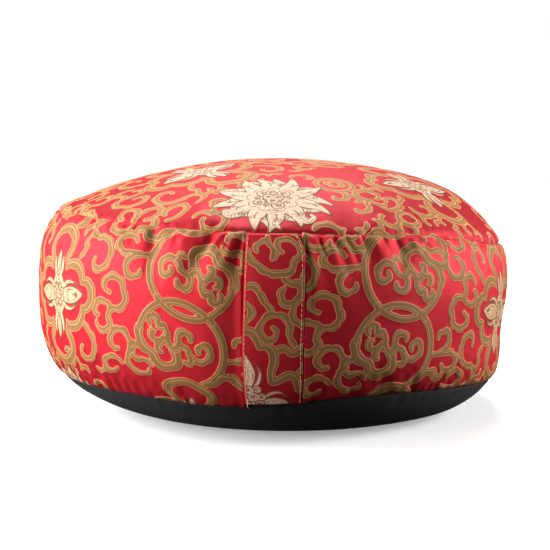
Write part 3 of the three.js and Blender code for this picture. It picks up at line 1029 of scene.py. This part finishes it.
# Folds in the band below the top seam, on both sides of the strip. Each has its two ends, as distances
# to the right of the middle and down from the seam, its half width, and its height, below 0 for a valley.
FOLDS = [
    (-20.4, 0, -22.6, 21, 1.6, -1.5), (-26, 2, -33, 24, 3.2, 1.4), (-34, 3, -46, 20, 2.6, 1.5),
    (-43, 9, -54, 30, 3.4, -1.5), (-30, 10, -38, 28, 2.2, -1), (-56, 3, -62, 14, 2.4, 0.7),
    (-84, 10, -80, 24, 5, -1.5), (-96, 6, -98, 18, 3.6, -0.7), (-70, 4, -74, 14, 2.2, -0.7),
    (21, 0, 21.8, 15, 1.6, -1.8), (25, 2, 31, 26, 3, 1.6), (31, 6, 37, 26, 2.2, -1.5),
    (36, 3, 44, 26, 2.8, 1), (50, 4, 56, 26, 2.4, -1.3), (45, 5, 50, 18, 2, 0.8),
    (61, 3, 64, 16, 1.8, -0.8), (68, 3, 72, 15, 2, 0.7), (76, 3, 80, 14, 1.8, -0.8),
    (86, 4, 91, 17, 2.4, -0.8), (99, 4, 103, 14, 2.6, 0.6),
]


def fold_relief(across, down):
    """Height of the folds at points of the band."""
    out = np.zeros_like(across)
    for x0, y0, x1, y1, width, height in FOLDS:
        length = math.hypot(x1 - x0, y1 - y0)
        ax, ay = (x1 - x0) / length, (y1 - y0) / length
        along = (across - x0) * ax + (down - y0) * ay
        beside = (across - x0) * ay - (down - y0) * ax
        share = np.clip(along / length, 0, 1)
        wide = width * (0.7 + 0.9 * share)
        past = along - np.clip(along, 0, length)
        fade = (1 - 0.6 * share ** 2) * bell(past, 2.5 * width)
        out += height * fade * bell(beside, wide) * (1 - bell(down, 3.0))
    return out


def strip_shoulder(across):
    """The band swells up again just beyond each edge of the strip."""
    beyond = np.abs(across) - STRIP_HALF
    height = np.where(across < 0, LEFT_SHOULDER, RIGHT_SHOULDER)
    return height * bell(np.maximum(beyond - 0.9, 0), 3.4) * np.clip(beyond / 0.5, 0, 1)


def brocade_fields(piece, x, y, fields):
    """The brocade's point fields: distances and sides from the chart, and the place on the cloth."""
    add_field(piece, "gold", fields[:, [0, 1, 4]])
    add_field(piece, "gold_below", fields[:, [2, 3, 6]])
    add_field(piece, "cream", fields[:, [8, 10, 12]])
    add_field(piece, "cloth", np.column_stack([x, y, np.zeros(len(x))]))


def thread_relief(fields):
    """The gold and cream threads stand a little proud of the satin."""
    gold = np.minimum(fields[:, 0], fields[:, 2])
    cream = fields[:, [4, 6, 8, 10]].min(axis=1)
    raised = GOLD_HEIGHT / (1 + np.exp(4 * (gold + 0.1)))
    return np.maximum(raised, CREAM_HEIGHT / (1 + np.exp(4 * cream)))


band_move, top_move = filled_cover()


def make_band():
    """The side band, with its folds, gathers and raised brocade."""
    turn = np.linspace(0, TAU, BAND_COLUMNS, endpoint=False)
    angles = turn - FRONT_CROWD * np.sin(turn)
    even = np.linspace(0, 1, BAND_ROWS)
    shares = even - SEAM_CROWD * np.sin(TAU * even)
    wide = np.broadcast_to(angles, (BAND_ROWS, BAND_COLUMNS))
    tall = np.broadcast_to(shares[:, None], wide.shape)
    points = on_face(BAND_FACE, wide, tall * (len(BAND_FACE) - 1))
    across = np.where(wide > math.pi, wide - TAU, wide) * FRONT_RADIUS
    free = eased(np.clip((np.abs(across) - HELD_HALF) / HELD_FADE, 0, 1))
    points = points + on_face(band_move, wide, tall * COVER_ROWS) * free[..., None]
    lean = np.clip(np.sin(wide), 0, 1) ** 2 * bell(points[..., 2] - LEAN_HEIGHT, LEAN_SPREAD)
    points = points - LEAN * lean[..., None] * ring_points(1, np.zeros_like(wide), wide)
    along = lengths(points)
    nearest = np.minimum(along, along[-1] - along)
    out = normals(points)
    shift = puckers(wide, along, 5) + puckers(wide, along[-1] - along, 9) - seam_dip(nearest)
    shift = shift + fold_relief(across, along[-1] - along) + strip_shoulder(across)
    x = wide * BAND_RADIUS - BAND_SHIFT[0]
    drift = sum(rise * bell(across - place, breadth) for rise, place, breadth in DRIFTS)
    hem = eased(np.clip(1 - along / HEM_REACH, 0, 1))
    drift = drift + HEM_RISE * hem * bell(across - HEM_PLACE, HEM_BREADTH)
    y = along - along[-1] / 2 - BAND_SHIFT[1] - drift
    fields = brocade_at(x.reshape(-1), y.reshape(-1))
    shift = shift + thread_relief(fields).reshape(shift.shape)
    points = points + out * shift[..., None]
    piece = build_mesh("band_cloth", points.reshape(-1, 3), grid_faces(BAND_ROWS, BAND_COLUMNS))
    brocade_fields(piece, x.reshape(-1), y.reshape(-1), fields)
    add_uv(piece, (wide / TAU).reshape(-1), tall.reshape(-1))
    return piece


def make_top():
    """The top panel, with its gathers and raised brocade."""
    angles, shares, faces = ring_mesh(TOP_RINGS)[:3]
    shares = shares - TOP_CROWD * np.sin(TAU * shares)
    rows = (1 - shares) * (len(TOP_FACE) - 1)
    along = lengths(TOP_FACE)
    from_seam = on_face(along[..., None], angles, rows)[:, 0]
    total = on_face(along[-1:].repeat(2, 0)[..., None], angles, np.zeros(len(angles)))[:, 0]
    swell = on_face(top_move, angles, (1 - shares) * COVER_RINGS)
    points = on_face(TOP_FACE, angles, rows) + TOP_SWELL * swell
    facing = unit(on_face(normals(TOP_FACE), angles, np.minimum(rows, len(TOP_FACE) - 3)))
    radial = total - from_seam
    east, north = radial * np.sin(angles) - TOP_ORIGIN[0], -radial * np.cos(angles) - TOP_ORIGIN[1]
    c, s = math.cos(math.radians(TOP_TURN)), math.sin(math.radians(TOP_TURN))
    x, y = east * c + north * s, -east * s + north * c
    fields = brocade_at(x, y)
    shift = puckers(angles, from_seam, 14) - seam_dip(from_seam) + thread_relief(fields)
    points = points + facing * shift[:, None]
    piece = build_mesh("top_cloth", points, faces)
    brocade_fields(piece, x, y, fields)
    add_uv(piece, 0.5 + 0.49 * shares * np.sin(angles), 0.5 - 0.49 * shares * np.cos(angles))
    return piece


def make_base():
    """The base panel, whose underside lies flat on the floor."""
    turn = np.linspace(0, TAU, BASE_COLUMNS, endpoint=False)
    wide = np.broadcast_to(turn, (BASE_ROWS, BASE_COLUMNS))
    tall = np.broadcast_to((np.linspace(0, 1, BASE_ROWS) ** 1.5)[:, None], wide.shape)
    points = on_face(BASE_FACE, wide, tall * (len(BASE_FACE) - 1))
    along = lengths(points)
    out = normals(points, -1)
    points = points - out * (seam_dip(along) + puckers(wide, along, 21))[..., None]
    points[..., 2] = np.maximum(points[..., 2], 0)
    faces = [face[::-1] for face in grid_faces(BASE_ROWS - 1, BASE_COLUMNS)]
    last = (BASE_ROWS - 2) * BASE_COLUMNS
    centre = last + BASE_COLUMNS
    faces += [(last + (c + 1) % BASE_COLUMNS, last + c, centre) for c in range(BASE_COLUMNS)]
    points = np.vstack([points[:-1].reshape(-1, 3), [0, 0, 0]])
    piece = build_mesh("base_cloth", points, faces)
    y = np.append(along[:-1].reshape(-1), along[-1, 0])
    add_field(piece, "weave", np.column_stack([points[:, :2], y]))
    radius = np.append((1 - tall[:-1]).reshape(-1), 0)
    angle = np.append(wide[:-1].reshape(-1), 0)
    add_uv(piece, 0.5 + 0.49 * radius * np.sin(angle), 0.5 - 0.49 * radius * np.cos(angle))
    return piece


def capped(rows, columns):
    """Faces of a tube with a cap at each end."""
    faces = grid_faces(rows, columns)
    faces.append(tuple(range(columns))[::-1])
    faces.append(tuple((rows - 1) * columns + column for column in range(columns)))
    return faces


def thread(path, radii):
    """Points and faces of a rounded thread along a path, with a radius at each of its points."""
    ahead = unit(np.gradient(path, axis=0))
    across = unit(np.cross(ahead, (0.3, 1.0, 0.1)))
    third = np.cross(ahead, across)
    turn = np.arange(THREAD_SIDES) / THREAD_SIDES * TAU
    ring = (path[:, None] + np.asarray(radii)[:, None, None]
            * (across[:, None] * np.cos(turn)[:, None] + third[:, None] * np.sin(turn)[:, None]))
    return ring.reshape(-1, 3), capped(len(path), THREAD_SIDES)


def stitch_row(line, outward, along, seed):
    """A row of short raised stitches along a line of the strip's face."""
    rng = np.random.default_rng(seed)
    rows = []
    spots = np.linspace(-1, 1, 7)
    place = FIRST_STITCH
    while place < along[-1] - LAST_STITCH:
        distance = place + spots * STITCH_LENGTH / 2 * rng.uniform(0.9, 1.08)
        path = np.column_stack([np.interp(distance, along, line[:, axis]) for axis in range(3)])
        facing = np.column_stack([np.interp(distance, along, outward[:, axis]) for axis in range(3)])
        rise = 0.30 * np.cos(spots * math.pi / 2) - 0.04
        path = path + facing * rise[:, None]
        path[:, 0] += rng.uniform(-0.1, 0.1) + spots * rng.uniform(-0.08, 0.08)
        rows.append(thread(path, THREAD_RADIUS * (0.55 + 0.45 * np.cos(spots * math.pi / 2))))
        place += STITCH_PITCH * rng.uniform(0.95, 1.05)
    return rows


def loose_end(corner):
    """The thread's tail, left hanging at the strip's lower left corner."""
    steps = ((0, 0, 1.0), (-0.2, -0.5, 0.2), (-0.5, -0.9, -1.2), (-0.3, -0.8, -2.8), (0.3, -0.5, -4.2))
    path = np.array(corner) + np.array(steps)
    return thread(path, [0.22, 0.26, 0.26, 0.24, 0.12])


def strip_face():
    """Rows of points over the strip's outer face, read from its solid and softened."""
    tree = tree_of("front_strip")
    low, high = [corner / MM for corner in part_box("front_strip")]
    face = np.full((STRIP_SCANS, STRIP_COLUMNS, 3), np.nan)

    def front_of(x, height):
        """Where a ray from the front meets the strip, if it does."""
        return tree.ray_cast(Vector((x, -RAY_BEFORE, height)), Vector((0, 1, 0)))[0]

    probes = np.linspace(low.x - 0.5, high.x + 0.5, STRIP_PROBES)
    for i, height in enumerate(np.linspace(low.z + 1.0, high.z - 1.0, STRIP_SCANS)):
        there = [x for x in probes if front_of(x, height) is not None]
        if not there or there[-1] - there[0] < LEAST_STRIP:
            continue
        middle = (there[0] + there[-1]) / 2
        half = (there[-1] - there[0] - FOLD_ROOM) / 2
        for j, share in enumerate(np.linspace(-1, 1, STRIP_COLUMNS)):
            hit = front_of(middle + half * share, height)
            if hit is not None:
                face[i, j] = hit
    face = face[~np.isnan(face[:, :, 0]).any(axis=1)]
    face = soften_along(face, 3)
    face = soften_along(face.transpose(1, 0, 2), 3).transpose(1, 0, 2)
    return respaced(face, np.linspace(0, 1, STRIP_ROWS))


def strip_section(face, outward):
    """The strip's cross-section at each row: its front, round each folded edge, and its back."""
    side = unit(np.gradient(face, axis=1))
    turn = np.linspace(0, math.pi, 9)[1:-1]
    half = STRIP_THICK / 2

    def edge(column, way):
        """Rows of points round a folded edge, to the right (1) or left (-1)."""
        return [face[:, column] + way * side[:, column] * (math.sin(a) * STRIP_EDGE)
                + outward[:, column] * (math.cos(a) - 1) * half for a in turn]

    front = [face[:, j] for j in range(STRIP_COLUMNS)]
    back = [face[:, j] - outward[:, j] * STRIP_THICK for j in range(STRIP_COLUMNS)]
    return np.stack(front + edge(-1, 1) + back[::-1] + edge(0, -1)[::-1], axis=1)


def make_strip():
    """The sewn-on strip: cloth folded in at both long edges, lying in its bed on the band."""
    face = strip_face()
    outward = unit(np.cross(np.gradient(face, axis=1), np.gradient(face, axis=0)))
    section = strip_section(face, outward)
    rows, count = section.shape[:2]
    faces = capped(rows, count)
    along = lengths(face)[:, STRIP_COLUMNS // 2]
    width = np.concatenate([[0], np.cumsum(np.linalg.norm(np.diff(section, axis=1), axis=2).mean(axis=0))])
    x = np.tile(width - width[STRIP_COLUMNS // 2], rows)
    y = np.repeat(along, count)
    u = np.tile(width / width[-1] * 0.98, rows)
    v = np.repeat(along / along[-1], count)
    points = section.reshape(-1, 3)
    cloth_faces, cloth_points = len(faces), len(points)
    seam_lines = stitch_row(face[:, 0] * 0.9 + face[:, 1] * 0.1, outward[:, 0], along, 3)
    seam_lines += stitch_row(face[:, -1] * 0.4 + face[:, -2] * 0.6, outward[:, -2], along, 4)
    seam_lines.append(loose_end(face[2, 1] + outward[2, 1] * 0.2))
    for more, more_faces in seam_lines:
        faces += [tuple(len(points) + k for k in one) for one in more_faces]
        points = np.vstack([points, more])
    extra = len(points) - cloth_points
    around_thread = np.arange(extra) % THREAD_SIDES / THREAD_SIDES
    x = np.append(x, np.full(extra, THREAD_PLACE))
    y = np.append(y, np.zeros(extra))
    u = np.append(u, 0.984 + 0.012 * around_thread)
    v = np.append(v, np.linspace(0, 1, extra))
    chart_x = np.clip(x, -CHART_REACH, CHART_REACH) + STRIP_WIDTH / 2
    fields = brocade_at(chart_x, y + STRIP_START, STRIP_CHART, STRIP_WIDTH, STRIP_HEIGHT)
    piece = build_mesh("strip_cloth", points, faces)
    slots = np.zeros(len(faces), np.int32)
    slots[cloth_faces:] = 1
    piece.data.polygons.foreach_set("material_index", slots)
    brocade_fields(piece, x, y, fields)
    add_uv(piece, u, v)
    return piece


# Materials


def set_range(node, *numbers):
    """Ends of what a Map Range node takes in and gives out."""
    for key, number in zip(("From Min", "From Max", "To Min", "To Max"), numbers):
        node.inputs[key].default_value = number


class Nodes:
    """Short ways to add shader nodes to a material."""

    def __init__(self, name):
        self.material = bpy.data.materials.new(name)
        self.material.use_nodes = True
        self.tree = self.material.node_tree
        self.shader = self.tree.nodes["Principled BSDF"]

    def add(self, kind, **settings):
        node = self.tree.nodes.new(kind)
        for key, value in settings.items():
            setattr(node, key, value)
        return node

    def link(self, source, target):
        self.tree.links.new(source, target)

    def math(self, operation, a, b=None):
        """Arithmetic on sockets or numbers."""
        node = self.add("ShaderNodeMath", operation=operation)
        for socket, value in zip(node.inputs, (a, b)):
            if value is None:
                continue
            if isinstance(value, (int, float)):
                socket.default_value = value
            else:
                self.link(value, socket)
        return node.outputs[0]

    def wave(self, value, length):
        """A wave along a value, from -1 to 1."""
        return self.math("SINE", self.math("MULTIPLY", value, TAU / length))

    def ramp(self, value, low, high, out_low=0.0, out_high=1.0):
        """Smooth change from one number to another while a value goes from low to high."""
        node = self.add("ShaderNodeMapRange", interpolation_type="SMOOTHSTEP")
        self.link(value, node.inputs["Value"])
        set_range(node, low, high, out_low, out_high)
        return node.outputs["Result"]

    def mix(self, share, a, b):
        """A colour between two colours."""
        node = self.add("ShaderNodeMix", data_type="RGBA")
        for socket, value in ((node.inputs["Factor"], share), (node.inputs[6], a), (node.inputs[7], b)):
            if isinstance(value, (int, float)):
                socket.default_value = value
            elif isinstance(value, tuple):
                socket.default_value = (*value, 1)
            else:
                self.link(value, socket)
        return node.outputs[2]

    def vector(self, name):
        """The three numbers of a point field."""
        node = self.add("ShaderNodeAttribute", attribute_name=name)
        split = self.add("ShaderNodeSeparateXYZ")
        self.link(node.outputs["Vector"], split.inputs[0])
        return split.outputs

    def noise(self, position, scale, detail):
        """Soft random values from 0 to 1."""
        node = self.add("ShaderNodeTexNoise")
        node.inputs["Scale"].default_value = scale
        node.inputs["Detail"].default_value = detail
        self.link(position, node.inputs["Vector"])
        return node.outputs["Fac"]

    def bump(self, height, depth, strength):
        """Fine relief, with its depth in metres."""
        node = self.add("ShaderNodeBump")
        node.inputs["Distance"].default_value = depth
        node.inputs["Strength"].default_value = strength
        self.link(height, node.inputs["Height"])
        self.link(node.outputs["Normal"], self.shader.inputs["Normal"])


def linear(red, green, blue):
    """A screen colour of 0 to 255 as the shader's linear colour."""
    out = []
    for value in (red, green, blue):
        value /= 255
        out.append(value / 12.92 if value <= 0.04045 else ((value + 0.055) / 1.055) ** 2.4)
    return tuple(out)


RED_DEEP = linear(186, 33, 45)
RED_BRIGHT = linear(203, 37, 49)
RED_SHADE = linear(158, 26, 36)
GOLD_DARK = linear(106, 74, 36)
GOLD_LIGHT = linear(150, 109, 56)
GOLD_INNER = linear(206, 152, 104)
GOLD_EDGE = linear(226, 150, 108)
CREAM_DARK = linear(206, 158, 122)
CREAM_LIGHT = linear(226, 186, 150)
CREAM_LINE = linear(104, 72, 36)
# The strip's cream and its lines, painted lighter than the band's: painted light on the shaded strip
STRIP_PAINTED_LIGHT_CREAM_DARK = linear(232, 178, 150)
STRIP_PAINTED_LIGHT_CREAM_LIGHT = linear(252, 216, 190)
STRIP_PAINTED_LIGHT_CREAM_LINE = linear(150, 82, 60)
# The top's cream, paler and whiter than the band's: a painted sheen
TOP_PAINTED_SHEEN_CREAM_DARK = linear(206, 169, 140)
TOP_PAINTED_SHEEN_CREAM_LIGHT = linear(224, 197, 170)
COTTON_DARK = linear(27, 26, 28)
COTTON_LIGHT = linear(41, 39, 43)
COTTON_FUZZ = linear(57, 55, 59)
THREAD_DARK = linear(196, 138, 106)
THREAD_LIGHT = linear(230, 182, 146)

# Painted shade and painted light on the top: how much darker its red and how much lighter its gold is
# painted
TOP_RED_PAINTED_SHADE = 0.76
TOP_GOLD_PAINTED_LIGHT = 1.12

# Distance from thread to thread in each weave, in millimetres
TWILL_PITCH = 0.9
WEFT_PITCH = 0.62
EDGE_PITCH = 1.3
SATIN_PITCH = 0.42
COTTON_PITCH = 0.9


def toned(colour, share):
    """A colour made lighter or darker by a share."""
    return tuple(min(1.0, channel * share) for channel in colour)


def brocade_material(name, cream_dark, cream_light, cream_line, red_painted_shade=1.0, gold_painted_light=1.0):
    """Red satin ground, gold twill scrolls with a pale edge, and cream flowers with fine olive lines."""
    n = Nodes(name)
    gold = n.vector("gold")
    below = n.vector("gold_below")
    cream = n.vector("cream")
    cloth = n.add("ShaderNodeAttribute", attribute_name="cloth").outputs["Vector"]
    place = n.vector("cloth")
    fibre = n.noise(cloth, 2.2, 3.0)
    patchy = n.noise(cloth, 0.03, 2.0)

    # The red and gold shares paint shade on the red and light on the gold of one panel's copy
    red = n.mix(patchy, toned(RED_DEEP, red_painted_shade), toned(RED_BRIGHT, red_painted_shade))
    red = n.mix(n.ramp(fibre, 0.3, 0.7, 0.0, 0.3), red, toned(RED_SHADE, red_painted_shade))
    gold_dark, gold_light, gold_inner, gold_edge = [
        toned(colour, gold_painted_light) for colour in (GOLD_DARK, GOLD_LIGHT, GOLD_INNER, GOLD_EDGE)]

    slant = n.wave(n.math("ADD", place["X"], place["Y"]), TWILL_PITCH)
    weft = n.wave(place["Y"], WEFT_PITCH)
    gold_colour = n.mix(n.ramp(slant, -0.6, 0.8), gold_dark, gold_light)
    gold_colour = n.mix(n.ramp(fibre, 0.35, 0.7, 0.0, 0.35), gold_colour, gold_inner)

    ticks = n.wave(n.math("SUBTRACT", place["X"], place["Y"]), EDGE_PITCH)
    stitched = n.ramp(n.math("ADD", ticks, n.math("MULTIPLY", fibre, 2.0)), 0.4, 1.9, 0.0, 0.75)

    def gold_layer(base, distance, side):
        """Gold strokes over what is below them: a pale edge, and a thin pale line to one side."""
        inside = n.ramp(distance, -0.05, 0.2, 1.0, 0.0)
        core = n.ramp(distance, -0.62, -0.38, 1.0, 0.0)
        thin = n.ramp(n.math("ABSOLUTE", n.math("SUBTRACT", side, 0.30)), 0.05, 0.14, 0.9, 0.0)
        stroke = n.mix(core, n.mix(stitched, gold_edge, gold_light), n.mix(thin, gold_colour, gold_inner))
        return n.mix(inside, base, stroke), inside

    colour, below_inside = gold_layer(red, below["X"], below["Y"])
    colour, gold_inside = gold_layer(colour, gold["X"], gold["Y"])
    cream_colour = n.mix(n.ramp(weft, -0.7, 0.7), cream_dark, cream_light)
    vein = n.ramp(cream["Z"], -0.05, 0.3, 0.9, 0.0)
    cream_colour = n.mix(vein, cream_colour, cream_line)
    cells = n.add("ShaderNodeTexVoronoi", voronoi_dimensions="2D")
    cells.inputs["Scale"].default_value = 0.27
    n.link(cloth, cells.inputs["Vector"])
    from_line = n.math("ABSOLUTE", n.math("SUBTRACT", cells.outputs["Distance"], 0.44))
    scale_line = n.ramp(from_line, 0.04, 0.11, 1.0, 0.0)
    petals = 0.0
    for distance, scaly in ((cream["Y"], 0.18), (cream["X"], 0.3), (below["Z"], 0.6), (gold["Z"], 0.6)):
        inside = n.ramp(distance, -0.05, 0.2, 1.0, 0.0)
        core = n.ramp(distance, -0.95, -0.5, 1.0, 0.0)
        leaf = n.mix(n.math("MULTIPLY", scale_line, scaly), cream_colour, cream_line)
        colour = n.mix(inside, colour, n.mix(core, cream_line, leaf))
        petals = n.math("MAXIMUM", inside, petals)
    n.link(colour, n.shader.inputs["Base Color"])

    threads = n.math("MAXIMUM", below_inside, gold_inside)
    worked = n.math("MAXIMUM", threads, petals)
    n.link(n.ramp(petals, 0.0, 1.0, 0.58, 0.45), n.shader.inputs["Roughness"])
    n.shader.inputs["Specular IOR Level"].default_value = 0.15
    n.link(n.ramp(worked, 0.0, 1.0, 0.43, 0.06), n.shader.inputs["Metallic"])
    satin = n.wave(place["X"], SATIN_PITCH)
    twill = n.math("MULTIPLY", slant, n.math("MULTIPLY", threads, 0.4))
    fine = n.math("ADD", n.math("MULTIPLY", satin, 0.12), twill)
    fine = n.math("ADD", fine, n.math("MULTIPLY", weft, n.math("MULTIPLY", petals, 0.4)))
    height = n.math("ADD", n.math("MULTIPLY", worked, 1.6), fine)
    height = n.math("ADD", height, n.math("MULTIPLY", fibre, 0.5))
    n.bump(height, 0.00016, 0.7)
    n.shader.inputs["Sheen Weight"].default_value = 0.02
    n.shader.inputs["Sheen Roughness"].default_value = 0.35
    n.shader.inputs["Sheen Tint"].default_value = (1.0, 0.35, 0.3, 1)
    return n.material


def cotton_material():
    """Black cotton in plain weave, a little fuzzy."""
    n = Nodes("black_cotton_weave")
    weave = n.vector("weave")
    cross = n.math("MULTIPLY", n.wave(weave["X"], COTTON_PITCH), n.wave(weave["Y"], COTTON_PITCH))
    place = n.add("ShaderNodeCombineXYZ")
    for axis in "XYZ":
        n.link(weave[axis], place.inputs[axis])
    fuzz = n.noise(place.outputs[0], 1.4, 4.0)
    colour = n.mix(n.ramp(cross, -0.8, 0.8), COTTON_DARK, COTTON_LIGHT)
    colour = n.mix(n.ramp(fuzz, 0.45, 0.75, 0.0, 0.5), colour, COTTON_FUZZ)
    n.link(colour, n.shader.inputs["Base Color"])
    n.shader.inputs["Roughness"].default_value = 0.9
    n.shader.inputs["Sheen Weight"].default_value = 0.03
    n.shader.inputs["Specular IOR Level"].default_value = 0.2
    n.bump(n.math("ADD", cross, fuzz), 0.00012, 0.8)
    return n.material


def thread_material():
    """Cream sewing thread."""
    n = Nodes("cream_thread")
    place = n.add("ShaderNodeTexCoord").outputs["Object"]
    twist = n.noise(place, 1400.0, 2.0)
    n.link(n.mix(twist, THREAD_DARK, THREAD_LIGHT), n.shader.inputs["Base Color"])
    n.shader.inputs["Roughness"].default_value = 0.6
    n.shader.inputs["Specular IOR Level"].default_value = 0.3
    n.bump(twist, 0.00008, 0.6)
    return n.material


# The four pieces, put together

BROCADE = brocade_material("red_silk_brocade", CREAM_DARK, CREAM_LIGHT, CREAM_LINE)
# The top's copy: painted shade on its red, painted light on its gold and a painted sheen on its cream
TOP_BROCADE_PAINTED_LIGHT_AND_SHADE = brocade_material("top_silk_brocade_painted_light_and_shade", TOP_PAINTED_SHEEN_CREAM_DARK, TOP_PAINTED_SHEEN_CREAM_LIGHT, CREAM_LINE,
                               TOP_RED_PAINTED_SHADE, TOP_GOLD_PAINTED_LIGHT)
# The strip's copy: its cream and lines painted lighter, as painted light
STRIP_BROCADE_PAINTED_LIGHT = brocade_material("strip_silk_brocade_painted_light", STRIP_PAINTED_LIGHT_CREAM_DARK, STRIP_PAINTED_LIGHT_CREAM_LIGHT, STRIP_PAINTED_LIGHT_CREAM_LINE)
COTTON = cotton_material()
THREAD = thread_material()

band = make_band()
top = make_top()
base = make_base()
strip = make_strip()
for piece, node, slot, material in (
        (band, "side_band", "brocade_band", BROCADE),
        (top, "top_panel", "brocade_top", TOP_BROCADE_PAINTED_LIGHT_AND_SHADE),
        (base, "base_panel", "black_cotton", COTTON),
        (strip, "front_strip", "brocade_strip", STRIP_BROCADE_PAINTED_LIGHT)):
    piece.data.materials.append(material)
    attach(piece, "root")
    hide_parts(node)
strip.data.materials.append(THREAD)


# Camera, floor and light

camera_data = bpy.data.cameras.new("camera")
camera_data.sensor_width = SENSOR
camera_data.lens = FOCAL / PHOTO * SENSOR
camera = bpy.data.objects.new("camera", camera_data)
camera.location = CAMERA_PLACE
camera.rotation_euler = (math.radians(90 - CAMERA_TILT), 0, math.radians(CAMERA_TURN))
bpy.context.collection.objects.link(camera)
bpy.context.scene.camera = camera


def circle(radius, height):
    """Points of a circle round the cushion, in metres."""
    angles = [TAU * i / ROUND_SIDES for i in range(ROUND_SIDES)]
    return [(radius * math.cos(angle), radius * math.sin(angle), height) for angle in angles]


def stage_piece(name, points, faces, grey):
    """A piece of the stage in a plain grey that can glow white, and its shader."""
    mesh = bpy.data.meshes.new(name)
    mesh.from_pydata(points, [], faces)
    material = bpy.data.materials.new(name)
    material.use_nodes = True
    shader = material.node_tree.nodes["Principled BSDF"]
    shader.inputs["Base Color"].default_value = (grey, grey, grey, 1)
    shader.inputs["Emission Color"].default_value = (1, 1, 1, 1)
    mesh.materials.append(material)
    piece = bpy.data.objects.new(name, mesh)
    bpy.context.collection.objects.link(piece)
    return piece, shader


def make_floor():
    """A pale round floor, just under the cushion, that glows more the further out it is."""
    floor, shader = stage_piece("floor", circle(FLOOR_RADIUS, 0), [tuple(range(ROUND_SIDES))], FLOOR_GREY)
    shader.inputs["Roughness"].default_value = 0.9
    tree = shader.id_data
    place = tree.nodes.new("ShaderNodeNewGeometry").outputs["Position"]
    far = tree.nodes.new("ShaderNodeVectorMath")
    far.operation = "LENGTH"
    tree.links.new(place, far.inputs[0])
    glow = tree.nodes.new("ShaderNodeMapRange")
    set_range(glow, 0.2, 0.9, FLOOR_GLOW, 1.0)
    tree.links.new(far.outputs["Value"], glow.inputs["Value"])
    tree.links.new(glow.outputs["Result"], shader.inputs["Emission Strength"])
    floor.location.z = -FLOOR_DROP
    floor.visible_diffuse = False
    floor.visible_glossy = False


def make_backdrop():
    """A white wall all round the cushion, seen by the camera alone, so it lights nothing."""
    points = circle(BACKDROP_RADIUS, BACKDROP_LOW) + circle(BACKDROP_RADIUS, BACKDROP_HIGH)
    backdrop, shader = stage_piece("backdrop", points, grid_faces(2, ROUND_SIDES), 0)
    shader.inputs["Specular IOR Level"].default_value = 0
    shader.inputs["Emission Strength"].default_value = 1.0
    for way in ("diffuse", "glossy", "transmission", "volume_scatter", "shadow"):
        setattr(backdrop, "visible_" + way, False)


def softbox(name, place, power):
    """A square lamp that faces the cushion."""
    data = bpy.data.lights.new(name, "AREA")
    data.shape = "RECTANGLE"
    data.size = data.size_y = SOFTBOX_SIZE
    data.energy = power
    lamp = bpy.data.objects.new(name, data)
    lamp.location = place
    lamp.rotation_euler = (Vector(SOFTBOX_AIM) - Vector(place)).to_track_quat("-Z", "Y").to_euler()
    bpy.context.collection.objects.link(lamp)


make_floor()
make_backdrop()
softbox("softbox_left_front", (-1.27, -0.79, 0.20), 30)
softbox("softbox_left", (-1.40, 0.02, 0.62), 40)
softbox("softbox_right", (1.42, 0.05, 0.52), 35)
softbox("softbox_behind", (0.0, 0.65, 1.45), 30)


def studio_world():
    """A dim studio round the softboxes, a little lighter from the pale floor below."""
    world = bpy.data.worlds.new("studio")
    world.use_nodes = True
    tree = world.node_tree
    place = tree.nodes.new("ShaderNodeTexCoord")
    split = tree.nodes.new("ShaderNodeSeparateXYZ")
    tree.links.new(place.outputs["Generated"], split.inputs[0])
    parts = []
    for axis, values in (("Z", (-0.6, 0.1, ROOM_BELOW, ROOM_ROUND)), ("Y", (0.45, 0.95, 0.0, ROOM_BEHIND))):
        ramp = tree.nodes.new("ShaderNodeMapRange")
        set_range(ramp, *values)
        tree.links.new(split.outputs[axis], ramp.inputs["Value"])
        parts.append(ramp.outputs["Result"])
    both = tree.nodes.new("ShaderNodeMath")
    for i, part in enumerate(parts):
        tree.links.new(part, both.inputs[i])
    tree.links.new(both.outputs["Value"], tree.nodes["Background"].inputs["Strength"])
    bpy.context.scene.world = world


studio_world()
bpy.context.scene.view_settings.view_transform = "Standard"

bpy.context.view_layer.update()
